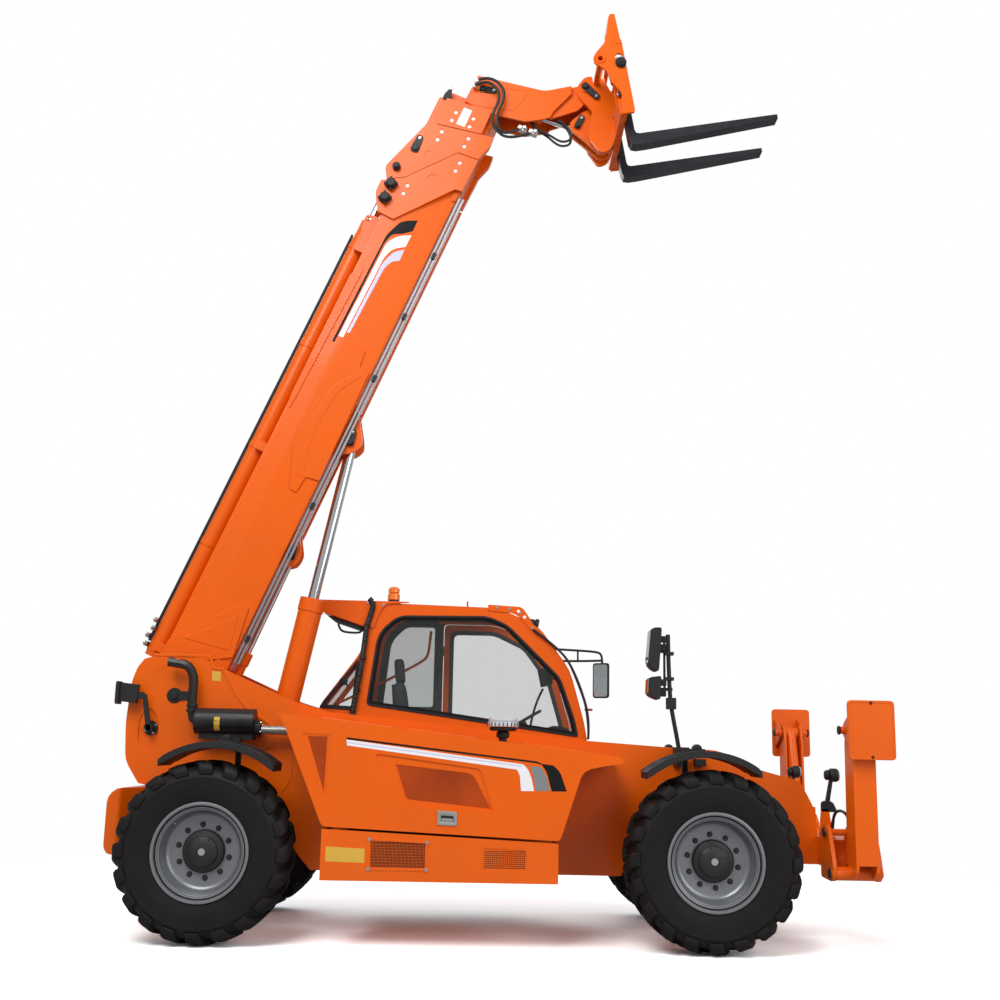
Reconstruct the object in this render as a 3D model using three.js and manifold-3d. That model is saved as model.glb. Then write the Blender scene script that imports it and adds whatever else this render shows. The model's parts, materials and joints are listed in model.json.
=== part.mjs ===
// A telehandler: a four-wheel-steered rough-terrain machine with a four-section telescopic boom,
// pallet forks, two swing-down stabilisers at the front and a cab on its left side.
// Millimetres, +X forward, +Y to the machine's left, +Z up.
import * as THREE from "three";
import { mergeVertices } from "three/addons/utils/BufferGeometryUtils.js";
import Module from "manifold-3d";

const wasm = await Module();
wasm.setup();

// ---------------------------------------------------------------- driving dimensions
// Heights are given above a datum plane that lies datumToAxle below the wheel centres.
const wheelbase = 3766;
const datumToAxle = 627;
const tyre = { radius: 662, width: 445, centreY: 987.5, beadRadius: 322, beadHalf: 189.7 };
const rim = { wall: 26, flangeRadius: 350, flangeWidth: 15, discIn: 20, discOut: 45, hubRadius: 135,
  hubIn: -60, hubOut: 130, boreDepth: 60 };
const steer = { pinY: 740, pinRadius: 28, spindleRadius: 60 };
const frame = { halfWidth: 375, plate: 30, floor: 440, axleSeat: 800, front: 4724 };
const boom = { pivotX: -463, pivotZ: 1779, angle: 67.1, halfTop: 195, halfBottom: 165, top: 300, fold: 75,
  bottom: -255, wall: 10, nest: 22, tail: -240, pinRadius: 50, plate: 22 };
const extension = { t: 395, radius: 82, rodRadius: 42, rear: 190, front: 4330, lug: 4915 };
const liftRam = { baseX: 230, baseZ: 950, eyeS: 2533, eyeT: -341, barrelRadius: 102, rodRadius: 48,
  pinRadius: 38, barrelLength: 1710, eyeRadius: 92, rodEye: 60, baseHalf: 110, eyeHalf: 85, stroke: 1195 };
const levelRam = { baseX: -275, baseZ: 1390, eyeS: 1430, eyeT: -309, barrelRadius: 38, rodRadius: 22,
  pinRadius: 25, barrelLength: 830, eyeRadius: 46, rodEye: 34, baseHalf: 55, eyeHalf: 60, stroke: 465 };
const tiltRam = { baseS: 6028, baseT: -31, eyeS: 6092, eyeT: -920, barrelRadius: 46, rodRadius: 26,
  pinRadius: 24, barrelLength: 590, eyeRadius: 45, rodEye: 38, baseHalf: 70, eyeHalf: 42, stroke: 105 };
const carriage = { pinS: 6426, pinT: -876, pinRadius: 34, noseRadius: 78, halfWidth: 565, plate: 25,
  lean: 10 };
const fork = { shaftX: 3124, shaftZ: 7375, shaftRadius: 28, centreY: 318, width: 130, back: -8, front: 54,
  drop: 589, heel: 109, length: 1345, tip: 42 };
const cab = { rightY: 385, leftY: 1200, wall: 50 };
const door = { hingeX: 1655, gap: 6 };
const hood = { outerY: -1180, innerY: -390, sheet: 25, hingeX: 1800, hingeY: -390, hingeZ: 1494,
  hingeSlope: 5.97, hingeRadius: 14.5 };
const leg = { x0: 4800, x1: 4970, pivotY: 990, pivotZ: 550, ramY: 860, ramZ: 840, topY: 1060, topZ: 1600, outerY: 1160,
  innerY: 930, plate: 20, pinRadius: 30 };
const foot = { x0: 4750, x1: 5100, z0: 1385, z1: 1820, innerY: 1215, plate: 25 };

// clearances
const touch = 0.3; // between faces that bear on each other
const running = 0.2; // between a pin and its bore
const slide = 0.5; // between a boom section and its wear pads
const collarGap = 8; // between two collars with the boom retracted

const pinSides = (radius) => (radius > 39 ? 20 : 16);
const wheelSides = 30;
const ramSides = 20;
const roundSteps = 2; // straight pieces in a rounded corner

// ---------------------------------------------------------------- materials
const finish = (color, roughness, metalness = 0) =>
  new THREE.MeshStandardMaterial({ color, roughness, metalness });
const orange = finish(0xe8590c, 0.35);
const black = finish(0x1b1b1c, 0.6);
const castBlack = finish(0x232325, 0.55, 0.3);
const rubber = finish(0x2a2624, 0.9);
const rimGrey = finish(0x8d8f92, 0.4, 0.4);
const chrome = finish(0xd8dadc, 0.12, 1);
const forkSteel = finish(0x26272a, 0.45, 0.6);
const glass = new THREE.MeshStandardMaterial({ color: 0xbfe0d4, roughness: 0.05, transparent: true, opacity: 0.3 });
const cloth = finish(0x2b2c30, 0.85);

// ---------------------------------------------------------------- solids
const rad = THREE.MathUtils.degToRad;

// A closed geometry as a solid, facing out whichever way its profile runs.
function solid(geometry) {
  geometry.deleteAttribute("normal");
  geometry.deleteAttribute("uv");
  const merged = mergeVertices(geometry, 1e-3);
  const index = merged.index.array;
  const triangles = [];
  for (let i = 0; i < index.length; i += 3) {
    const [a, b, c] = [index[i], index[i + 1], index[i + 2]];
    if (a !== b && b !== c && c !== a) triangles.push(a, b, c);
  }
  const build = (list) =>
    new wasm.Manifold(new wasm.Mesh({
      numProp: 3,
      vertProperties: merged.attributes.position.array,
      triVerts: new Uint32Array(list),
    }));
  const made = build(triangles);
  return made.volume() > 0 ? made : build(triangles.reverse());
}

const join = (...solids) => solids.reduce((a, b) => a.add(b));
const cut = (body, ...tools) => tools.reduce((a, b) => a.subtract(b), body);

// An outline from its corners [u, v, radius], with each corner of a given radius rounded. A round
// takes up at most 0.45 of the shorter side beside it.
function outline(corners) {
  const shape = new THREE.Shape();
  const at = ([u, v]) => new THREE.Vector2(u, v);
  corners.forEach((corner, i) => {
    const here = at(corner);
    const before = at(corners.at(i - 1));
    const after = at(corners[(i + 1) % corners.length]);
    const room = 0.45 * Math.min(here.distanceTo(before), here.distanceTo(after));
    const radius = Math.min(corner[2] ?? 0, room);
    const toward = (other) => other.clone().sub(here).setLength(radius).add(here);
    const enter = radius ? toward(before) : here;
    if (i === 0) shape.moveTo(enter.x, enter.y);
    else shape.lineTo(enter.x, enter.y);
    if (radius) {
      const leave = toward(after);
      shape.quadraticCurveTo(here.x, here.y, leave.x, leave.y);
    }
  });
  return shape;
}

const axes = {
  x: [new THREE.Vector3(0, 1, 0), new THREE.Vector3(0, 0, 1), new THREE.Vector3(1, 0, 0)],
  y: [new THREE.Vector3(1, 0, 0), new THREE.Vector3(0, 0, 1), new THREE.Vector3(0, -1, 0)],
  z: [new THREE.Vector3(1, 0, 0), new THREE.Vector3(0, 1, 0), new THREE.Vector3(0, 0, 1)],
};

// An outline in the plane across an axis, extruded along it. Across x it is (y, z), across y (x, z).
function prism(corners, axis, from, to) {
  const geometry = new THREE.ExtrudeGeometry(outline(corners), {
    depth: to - from, bevelEnabled: false, curveSegments: roundSteps,
  });
  const start = axes[axis][2].clone().multiplyScalar(axis === "y" ? -to : from);
  if (axis === "y") start.set(0, to, 0);
  geometry.applyMatrix4(new THREE.Matrix4().makeBasis(...axes[axis]).setPosition(start));
  return solid(geometry);
}

const box = (x0, x1, y0, y1, z0, z1) =>
  solid(new THREE.BoxGeometry(x1 - x0, y1 - y0, z1 - z0)
    .translate((x0 + x1) / 2, (y0 + y1) / 2, (z0 + z1) / 2));

// A round bar along an axis, with its centre at (u, v) across that axis.
function bar(axis, u, v, radius, from, to, sides = pinSides(radius), phase = 0) {
  const geometry = new THREE.CylinderGeometry(radius, radius, to - from, sides).rotateY(phase);
  const middle = (from + to) / 2;
  if (axis === "x") geometry.rotateZ(Math.PI / 2).translate(middle, u, v);
  if (axis === "y") geometry.translate(u, middle, v);
  if (axis === "z") geometry.rotateX(Math.PI / 2).translate(u, v, middle);
  return solid(geometry);
}

// The bore for a pin: its flats stay clear of the pin's corners as it turns, and face them at rest.
const boreRadius = (pinRadius) => (pinRadius + running) / Math.cos(Math.PI / pinSides(pinRadius));
function bore(axis, u, v, pinRadius, from, to) {
  const sides = pinSides(pinRadius);
  return bar(axis, u, v, boreRadius(pinRadius), from, to, sides, Math.PI / sides);
}

// A pipe or bar along a path, round in section.
function pipe(points, radius, steps = 8, sides = 8) {
  const ring = new THREE.Shape();
  for (let i = 0; i <= sides; i++) {
    const a = (2 * Math.PI * i) / sides;
    if (i === 0) ring.moveTo(radius, 0);
    else ring.lineTo(radius * Math.cos(a), radius * Math.sin(a));
  }
  const curve = new THREE.CatmullRomCurve3(points.map((p) => new THREE.Vector3(...p)), false, "centripetal");
  return solid(new THREE.ExtrudeGeometry(ring, { steps, extrudePath: curve, bevelEnabled: false }));
}

// A turned piece about the y axis, from its half profile [radius, y].
const turned = (profile, sides = wheelSides) =>
  solid(new THREE.LatheGeometry(profile.map(([r, y]) => new THREE.Vector2(r, y)), sides));

// The same solid on both sides of the machine's middle plane.
const bothSides = (make) => join(make(1), make(-1));
const spanY = (side, near, far) => (side > 0 ? [near, far] : [-far, -near]);

// An outline moved inwards by a distance, corner radii kept.
function inset(corners, distance) {
  const n = corners.length;
  let area = 0;
  corners.forEach(([x, y], i) => {
    const [x2, y2] = corners[(i + 1) % n];
    area += x * y2 - x2 * y;
  });
  const turn = Math.sign(area);
  return corners.map(([x, y, r], i) => {
    const [xa, ya] = corners.at(i - 1);
    const [xb, yb] = corners[(i + 1) % n];
    const d1 = new THREE.Vector2(x - xa, y - ya).normalize();
    const d2 = new THREE.Vector2(xb - x, yb - y).normalize();
    const n1 = new THREE.Vector2(-d1.y, d1.x).multiplyScalar(turn);
    const n2 = new THREE.Vector2(-d2.y, d2.x).multiplyScalar(turn);
    const k = distance / (1 + n1.dot(n2));
    return [x + (n1.x + n2.x) * k, y + (n1.y + n2.y) * k, r ?? 0];
  });
}

// ---------------------------------------------------------------- scene graph
const machine = new THREE.Group();
machine.position.z = tyre.radius - datumToAxle;

function piece(name, body, material, parent = machine) {
  const { numProp, vertProperties, triVerts } = body.getMesh();
  const position = new Float32Array((vertProperties.length / numProp) * 3);
  for (let i = 0; i * numProp < vertProperties.length; i++)
    position.set(vertProperties.subarray(i * numProp, i * numProp + 3), i * 3);
  const geometry = new THREE.BufferGeometry();
  geometry.setAttribute("position", new THREE.BufferAttribute(position, 3));
  geometry.setIndex(new THREE.BufferAttribute(triVerts, 1));
  geometry.computeVertexNormals();
  const mesh = new THREE.Mesh(geometry, material);
  mesh.name = name;
  parent.add(mesh);
}

function group(x, z, angle, parent = machine) {
  const made = new THREE.Group();
  made.position.set(x, 0, z);
  made.rotation.y = -rad(angle);
  parent.add(made);
  return made;
}

// The boom's own frame: its x runs along the boom from the pivot, its z to the boom's top side.
const boomFrame = group(boom.pivotX, boom.pivotZ, boom.angle);
const boomPoint = (s, t) => {
  const a = rad(boom.angle);
  return [boom.pivotX + s * Math.cos(a) - t * Math.sin(a), boom.pivotZ + s * Math.sin(a) + t * Math.cos(a)];
};
const liftEye = boomPoint(liftRam.eyeS, liftRam.eyeT);
const levelEye = boomPoint(levelRam.eyeS, levelRam.eyeT);
const tiltBase = boomPoint(tiltRam.baseS, tiltRam.baseT);
const tiltEye = boomPoint(tiltRam.eyeS, tiltRam.eyeT);
const mainPin = boomPoint(carriage.pinS, carriage.pinT);

// A solid drawn in the machine's frame, moved into the boom's frame, and the other way for a point
// given in the frame of the leaning carriage.
const turn = (body, x, z, angle) => body.translate([-x, 0, -z]).rotate([0, angle, 0]);
const inBoomFrame = (body) => turn(body, boom.pivotX, boom.pivotZ, boom.angle);
const inCarriageFrame = ([x, z]) => {
  const a = rad(carriage.lean);
  const [dx, dz] = [x - fork.shaftX, z - fork.shaftZ];
  return [dx * Math.cos(a) + dz * Math.sin(a), dz * Math.cos(a) - dx * Math.sin(a)];
};

// ---------------------------------------------------------------- frame
const plateInner = frame.halfWidth - frame.plate;
const pinSpan = [-frame.halfWidth + 1, frame.halfWidth - 1];

function mainFrame() {
  const side = [
    [-705, 1083], [-822, 1260, 60], [-840, 1560, 60], [-815, 1900, 60], [-740, 2092, 110], [-270, 2093, 60],
    [-94, 2007], [472, 1761, 60], [800, 1672], [2906, 1484], [3706, 1437], [3924, 1433, 60], [4117, 1366],
    [4277, 1283], [4600, 1200, 20], [4700, 1000, 30], [frame.front - touch, 847],
    [frame.front - touch, 560], [4320, 560], [4140, frame.axleSeat], [3400, frame.axleSeat],
    [3150, frame.floor], [700, frame.floor], [380, frame.axleSeat], [-360, frame.axleSeat], [-600, 640],
    [-600, 1060],
  ];
  const plates = bothSides((s) => prism(side, "y", ...spanY(s, plateInner, frame.halfWidth)));
  const inside = [-plateInner - 1, plateInner + 1];
  return join(
    plates,
    box(700, 3150, ...inside, frame.floor, frame.floor + 30),
    box(-600, -570, ...inside, 640, 1300),
    box(4640, frame.front - touch, ...inside, 560, 1000),
    box(3200, 4660, ...inside, 950, 980),
    box(3140, 3170, ...inside, frame.floor, 980),
    bar("y", boom.pivotX, boom.pivotZ, boom.pinRadius, ...pinSpan),
    bar("y", liftRam.baseX, liftRam.baseZ, liftRam.pinRadius, ...pinSpan),
    bar("y", levelRam.baseX, levelRam.baseZ, levelRam.pinRadius, ...pinSpan),
  );
}

function counterweight() {
  const plan = [
    [-600 - touch, -380], [-600 - touch, 380], [-770, 620, 20], [-885, 620, 60], [-885, -620, 60],
    [-770, -620, 20],
  ];
  const side = [
    [-590, 550], [-850, 550, 40], [-885, 640, 40], [-872, 980, 40], [-800, 1055, 60], [-590, 1055],
  ];
  return prism(plan, "z", 500, 1100).intersect(prism(side, "y", -700, 700));
}

// ---------------------------------------------------------------- axles, knuckles and wheels
const yoke = { half: 70, arm: [590, 640], ear: 790, gap: 130, top: 165 };

function axle() {
  const housing = turned([
    [0, -620], [95, -620], [88, -300], [190, -170], [215, 0], [190, 170], [88, 300], [95, 620], [0, 620],
  ], 20);
  const ends = bothSides((s) => join(
    box(-yoke.half, yoke.half, ...spanY(s, ...yoke.arm), -yoke.top, yoke.top),
    box(-yoke.half, yoke.half, ...spanY(s, yoke.arm[0], yoke.ear), yoke.gap, yoke.top),
    box(-yoke.half, yoke.half, ...spanY(s, yoke.arm[0], yoke.ear), -yoke.top, -yoke.gap),
    bar("z", 0, s * steer.pinY, steer.pinRadius, -yoke.top, yoke.top),
    box(-120, 120, ...spanY(s, plateInner - 20, frame.halfWidth + 20), 40,
      frame.axleSeat - datumToAxle - touch),
  ));
  return join(housing, ends);
}

// A knuckle with its spindle, steering arm and the mudguard it carries; lead is 1 where the
// mudguard sits ahead of the wheel centre and -1 where it sits behind.
const mudguard = { centreX: 60, centreZ: 93, outer: 700, sheet: 38, rear: -410, front: 440, near: 790, far: 1195 };

function knuckle(side, lead) {
  const core = cut(
    join(
      box(-75, 75, ...spanY(side, 690, 830), -yoke.gap + touch, yoke.gap - touch),
      bar("y", 0, 0, steer.spindleRadius, ...spanY(side, 820, tyre.centreY + rim.boreDepth - 10)),
      bar("y", 0, 0, 120, ...spanY(side, 780, tyre.centreY + rim.hubIn - 10)),
    ),
    bore("z", 0, side * steer.pinY, steer.pinRadius, -400, 400),
  );
  const post = join(
    box(...[60, 170].map((x) => x * lead).sort((a, b) => a - b), ...spanY(side, 700, 745), -30, 60),
    box(...[130, 170].map((x) => x * lead).sort((a, b) => a - b), ...spanY(side, 700, 740), -30, 822),
    box(...[130, 170].map((x) => x * lead).sort((a, b) => a - b), ...spanY(side, 700, 830), 772, 822),
  );
  const [y0, y1] = spanY(side, mudguard.near, mudguard.far);
  const x0 = mudguard.centreX * lead;
  const ring = cut(
    bar("y", x0, mudguard.centreZ, mudguard.outer, y0, y1, 40),
    bar("y", x0, mudguard.centreZ, mudguard.outer - mudguard.sheet, y0 - 1, y1 + 1, 40),
  );
  const ends = [mudguard.rear * lead, mudguard.front * lead].sort((a, b) => a - b);
  const guard = ring.intersect(box(x0 + ends[0], x0 + ends[1], y0 - 1, y1 + 1, 300, 900));
  return join(core, post, guard);
}

const tyreSolid = (() => {
  const half = tyre.width / 2;
  const side = [
    [tyre.beadRadius, tyre.beadHalf], [352, tyre.beadHalf], [352, 204], [500, half], [605, 205], [648, 130],
  ];
  const profile = [...side, [tyre.radius, 0], ...side.toReversed().map(([r, y]) => [r, -y])];
  return turned([...profile, side[0]]);
})();

// The rim with its disc and planetary hub; its outside faces +y.
function rimSolid() {
  const bead = tyre.beadRadius - touch;
  const inner = bead - rim.wall;
  const flange = tyre.beadHalf + touch;
  const edge = flange + rim.flangeWidth - 1;
  const barrel = turned([
    [inner, -edge], [rim.flangeRadius, -edge], [rim.flangeRadius, -flange], [bead, -flange],
    [bead, flange], [rim.flangeRadius, flange], [rim.flangeRadius, edge], [inner, edge], [inner, -edge],
  ]);
  return cut(
    join(
      barrel,
      bar("y", 0, 0, inner + 5, rim.discIn, rim.discOut, wheelSides),
      bar("y", 0, 0, rim.hubRadius, rim.hubIn, rim.hubOut),
    ),
    bore("y", 0, 0, steer.spindleRadius, rim.hubIn - 1, rim.boreDepth),
  );
}

const corners = [
  { name: "front_right", x: wheelbase, side: -1, lead: -1 },
  { name: "front_left", x: wheelbase, side: 1, lead: -1 },
  { name: "rear_right", x: 0, side: -1, lead: 1 },
  { name: "rear_left", x: 0, side: 1, lead: 1 },
];

function runningGear() {
  for (const [name, x] of [["front_axle", wheelbase], ["rear_axle", 0]])
    piece(name, axle(), castBlack, group(x, datumToAxle, 0));
  const rimShape = rimSolid();
  for (const { name, x, side, lead } of corners) {
    const place = group(x, datumToAxle, 0);
    piece("knuckle_" + name, knuckle(side, lead), castBlack, place);
    const wheel = new THREE.Group();
    wheel.position.y = side * tyre.centreY;
    wheel.rotation.z = side > 0 ? 0 : Math.PI;
    place.add(wheel);
    piece("tyre_" + name, tyreSolid, rubber, wheel);
    piece("rim_" + name, rimShape, rimGrey, wheel);
  }
}

// ---------------------------------------------------------------- boom
// The boom's section in (y, z), moved inwards from the outer section's skin.
function boomSection(by) {
  const round = 30;
  return [
    [-boom.halfBottom + by, boom.bottom + by, round], [boom.halfBottom - by, boom.bottom + by, round],
    [boom.halfTop - by, boom.fold], [boom.halfTop - by, boom.top - by, round],
    [-boom.halfTop + by, boom.top - by, round], [-boom.halfTop + by, boom.fold],
  ];
}

// Where each section's collar ends, from its top edge to its bottom edge, as [s, t].
const collarEnds = [
  [[4795, 460], [4923, 246], [5337, -93], [5350, -340]],
  [[5470, 460], [5499, 278], [5612, -340]],
  [[5780, 330], [5790, 214], [5838, -260]],
];
const beyond = (line, gap) =>
  prism([...line.map(([s, t]) => [s + gap, t]), [line.at(-1)[0] + gap, -900], [8000, -900], [8000, 900],
    [line[0][0] + gap, 900]], "y", -600, 600);

const collarPlates = [
  [[4522, 172], [4537, 336, 20], [4696, 426, 30], [4900, 426], [5400, 200], [5400, -286], [5015, -276],
    [5009, -212]],
  [[4700, 300], [4869, 400], [4954, 450, 30], [5560, 260], [5680, -314], [5503, -327, 20], [5300, -266],
    [5200, 0]],
  [[5480, 150], [5604, 256, 20], [5800, 214], [5850, -204], [5560, -208]],
];

const sectionRear = [boom.tail, 330, 430, 530];
const padLength = 220;

// A boom section: its tube, its rear shoe and its front collar with the pads that hold the next one.
function boomTube(k) {
  const by = k * boom.nest;
  const last = k === 3;
  const end = last ? 5900 : 5860;
  const parts = [cut(
    prism(boomSection(by), "x", sectionRear[k], end),
    prism(boomSection(by + boom.wall), "x", sectionRear[k] - 1, end + 1),
  )];
  if (k > 0) {
    const shoe = (k - 1) * boom.nest + boom.wall + slide;
    parts.push(cut(
      prism(boomSection(shoe), "x", sectionRear[k], sectionRear[k] + 120),
      prism(boomSection(by + 1), "x", sectionRear[k] - 1, sectionRear[k] + 121),
    ));
  }
  if (last) return join(...parts);
  const front = Math.min(...collarEnds[k].map(([s]) => s));
  const pad = (k + 1) * boom.nest - slide;
  parts.push(cut(
    prism(boomSection(by + 1), "x", front - padLength, end),
    prism(boomSection(pad), "x", front - padLength - 1, end + 1),
  ));
  const collarFrom = k === 0 ? 4600 : Math.min(...collarEnds[k - 1].map(([s]) => s)) - 1;
  let collar = join(
    cut(prism(boomSection(0), "x", collarFrom, end), prism(boomSection(pad), "x", collarFrom - 1, end + 1)),
    bothSides((s) => prism(collarPlates[k], "y", ...spanY(s, boom.halfBottom - 10, boom.halfTop + boom.plate))),
  );
  collar = cut(collar, prism(boomSection(pad), "x", 4000, end + 1));
  if (k > 0) collar = collar.intersect(beyond(collarEnds[k - 1], collarGap));
  return cut(join(...parts, collar), beyond(collarEnds[k], 0));
}

// A pair of ears outside a rod's eye. Their pin is two stubs, so that the eye between them is free.
function earPair(corners, s, t, pinRadius, near, thickness) {
  return bothSides((side) => join(
    prism(corners, "y", ...spanY(side, near, near + thickness)),
    bar("y", s, t, pinRadius, ...spanY(side, near, near + thickness + 12)),
  ));
}

function boomOuter() {
  const { eyeS, eyeT } = liftRam;
  const skin = boom.bottom + 6;
  const liftEars = earPair(
    [[eyeS - 160, skin], [eyeS - 70, eyeT - 65, 40], [eyeS + 20, eyeT - 105, 60], [eyeS + 90, eyeT - 70, 40],
      [eyeS + 340, skin]],
    eyeS, eyeT, liftRam.pinRadius, liftRam.eyeHalf, 35,
  );
  const levelEars = earPair(
    [[levelRam.eyeS - 130, skin], [levelRam.eyeS - 60, levelRam.eyeT - 60, 40],
      [levelRam.eyeS + 50, levelRam.eyeT - 70, 40], [levelRam.eyeS + 260, skin]],
    levelRam.eyeS, levelRam.eyeT, levelRam.pinRadius, levelRam.eyeHalf, 25,
  );
  const cradle = (s0, s1) => cut(
    box(s0, s1, -boom.halfTop + 60, boom.halfTop - 60, boom.top - 5, extension.t),
    bar("x", 0, extension.t, extension.radius + touch, s0 - 1, s1 + 1, ramSides),
  );
  return cut(
    join(
      boomTube(0),
      bar("y", 0, 0, 95, -plateInner + touch, plateInner - touch),
      liftEars, levelEars,
      cradle(extension.rear + 60, extension.rear + 140),
      cradle(2150, 2230),
      cradle(extension.front - 180, extension.front - 60),
    ),
    bore("y", 0, 0, boom.pinRadius, -600, 600),
  );
}

function boomSecond() {
  const { lug: from, t } = extension;
  const lug = prism([[from, boom.top - 5], [from, t + 45, 40], [from + 95, t + 45, 40], [from + 140, boom.top - 5]],
    "y", -60, 60);
  return join(boomTube(1), lug);
}

// The gooseneck: two side plates under a top plate with the tilt ram between them, drawn in the
// machine's frame. It narrows where the coupler's cheeks swing beside it.
const neck = { half: 150, slimHalf: 118, plate: 22 };

function boomHead() {
  const [mx, mz] = mainPin;
  const side = [
    [1745, 7212], [1862, 7467], [2479, 7328, 40], [mx - 90, mz + 35, 60], [mx + 20, mz + 60],
    [mx + 60, mz - 50], [2788, 7161, 30], [2467, 7046, 60], [2300, 7022], [1915, 7105],
  ];
  const slim = [
    [mx - 122, 7600], [mx - 122, 7310], [2560, 7130], [2440, 6900], [3100, 6900], [3100, 7600],
  ];
  const { half, slimHalf, plate } = neck;
  const inside = [
    [1815, 7200], [1880, 7395], [1935, 7410], [2470, 7295], [mx - 105, mz + 8], [mx - 55, mz - 50], [mx + 70, mz - 60], [2870, 7100],
    [2500, 6900], [1900, 7000], [1885, 7095],
  ];
  const sides = bothSides((s) => prism(slim, "y", ...spanY(s, slimHalf, 400)));
  const body = cut(
    prism(side, "y", -half, half),
    sides,
    cut(prism(inside, "y", plate - half, half - plate), prism(slim, "y", -400, 400)),
    prism(inside, "y", plate - slimHalf, slimHalf - plate),
  );
  const [bx, bz] = tiltBase;
  return cut(
    join(
      boomTube(3),
      inBoomFrame(join(
        body,
        bar("y", mx, mz, carriage.noseRadius, -slimHalf, slimHalf),
        bar("y", bx, bz, tiltRam.pinRadius, -half - 12, half + 12),
      )),
    ),
    bore("y", carriage.pinS, carriage.pinT, carriage.pinRadius, -300, 300),
  );
}

// A ram's barrel along x from its base eye.
function ramBarrel(ram) {
  const mouth = ram.barrelLength;
  return cut(
    join(
      bar("y", 0, 0, ram.eyeRadius, -ram.baseHalf, ram.baseHalf),
      bar("x", 0, 0, ram.barrelRadius, 0, mouth, ramSides),
      bar("x", 0, 0, ram.barrelRadius + 8, mouth - 110, mouth, ramSides),
    ),
    bore("y", 0, 0, ram.pinRadius, -500, 500),
    bar("x", 0, 0, ram.rodRadius + 6, ram.eyeRadius + 30, mouth - 40),
    bore("x", 0, 0, ram.rodRadius, mouth - 50, mouth + 1),
  );
}

// A ram's rod back along x from its eye, which bears on the ears beside it.
function ramRod(ram, span) {
  return join(
    bar("y", 0, 0, ram.rodEye, touch - ram.eyeHalf, ram.eyeHalf - touch),
    bar("x", 0, 0, ram.rodRadius, ram.eyeRadius + 40 + ram.stroke - span, -10),
  );
}

// Places a barrel at its base pin and a rod at its eye, both in line.
function ramPair(name, ram, base, eye) {
  const dx = eye[0] - base[0];
  const dz = eye[1] - base[1];
  const angle = THREE.MathUtils.radToDeg(Math.atan2(dz, dx));
  piece(name + "_barrel", ramBarrel(ram), orange, group(...base, angle));
  piece(name + "_rod", ramRod(ram, Math.hypot(dx, dz)), chrome, group(...eye, angle));
}

function extensionRam() {
  const { t, radius, rodRadius, rear, front, lug } = extension;
  const barrel = cut(
    bar("x", 0, t, radius, rear, front, ramSides),
    bar("x", 0, t, rodRadius + 8, rear + 40, front - 40),
    bore("x", 0, t, rodRadius, front - 50, front + 1),
  );
  piece("extension_barrel", barrel, orange, boomFrame);
  piece("extension_rod", bar("x", 0, t, rodRadius, rear + 90, lug - touch), chrome, boomFrame);
}

// ---------------------------------------------------------------- coupler, carriage and forks
// All three are drawn in the carriage's frame: its origin is the fork shaft, and its z leans back.
const hook = { x: -166, z: 74, radius: 26 };
const rail = { back: -75, front: -13, top: -320, bottom: -465 };

function coupler() {
  const [mx, mz] = inCarriageFrame(mainPin);
  const [tx, tz] = inCarriageFrame(tiltEye);
  const bearing = rail.back - touch;
  const cheek = [
    [mx - 82, mz - 46, 40], [mx - 72, mz + 30, 40], [-264, 146, 50], [-215, 150, 15], [-112, 118, 20],
    [-75, 55, 20], [-50, -25, 20], [-5, -62, 20], [44, -95, 20], [12, -173, 20], [bearing, -270], [bearing, -460], [-100, -525, 30],
    [-153, -595, 30], [-219, -610, 40], [-253, -596, 30], [-330, -440, 40], [-250, -200],
  ];
  const ear = [
    [tx - 49, tz - 27, 40], [tx - 32, tz + 41, 40], [-330, -150, 30], [-130, -110], [-130, -560],
    [-230, -600, 40], [-360, -430, 40],
  ];
  return cut(
    join(
      bothSides((s) => prism(cheek, "y", ...spanY(s, neck.slimHalf + touch, 150))),
      earPair(ear, tx, tz, tiltRam.pinRadius, tiltRam.eyeHalf, 30),
      box(-150, -126, -149, 149, -560, 20),
      bar("y", mx, mz, carriage.pinRadius, -162, 162),
    ),
    bore("y", hook.x, hook.z, hook.radius, -300, 300),
    box(hook.x - boreRadius(hook.radius), hook.x + boreRadius(hook.radius), -300, 300, hook.z, 400),
  );
}

function forkCarriage() {
  const { halfWidth, plate } = carriage;
  const cheek = [
    [-14, 492, 10], [33, 488, 10], [41, 236], [50, 229, 10], [53, -462, 15], [42, -477], [-58, -473],
    [-45, -325], [-32, -278, 20], [-116, -147, 30], [-122, -57, 30], [-178, 2, 30], [-232, 49, 30],
    [-224, 105, 40], [-178, 154, 30], [-92, 233, 30],
  ];
  const inner = [-halfWidth + plate - 1, halfWidth - plate + 1];
  const post = [[-60, 250], [-25, 470], [5, 470], [-20, 250]];
  return join(
    bothSides((s) => prism(cheek, "y", ...spanY(s, halfWidth - plate, halfWidth))),
    box(-22, 30, ...inner, 425, 484),
    bothSides((s) => prism(post, "y", ...spanY(s, 250, 275))),
    box(-62, -20, ...inner, 200, 260),
    bar("y", hook.x, hook.z, hook.radius, -halfWidth - 4, halfWidth + 4),
    bar("y", 0, 0, fork.shaftRadius, -halfWidth - 20, halfWidth + 20),
    box(rail.back, rail.front, ...inner, rail.bottom, rail.top),
  );
}

function forkSolid() {
  const { back, front, drop, heel, length, tip, width, shaftRadius } = fork;
  const profile = [
    [back, 0], [front, 0], [front, -drop, 40], [length, -drop], [length, -drop - tip],
    [front + 90, -drop - heel], [back, -drop - heel, 60],
  ];
  return cut(
    join(
      prism(profile, "y", -width / 2, width / 2),
      bar("y", 0, 0, shaftRadius + 30, -width / 2, width / 2),
    ),
    bore("y", 0, 0, shaftRadius, -200, 200),
  );
}

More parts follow.
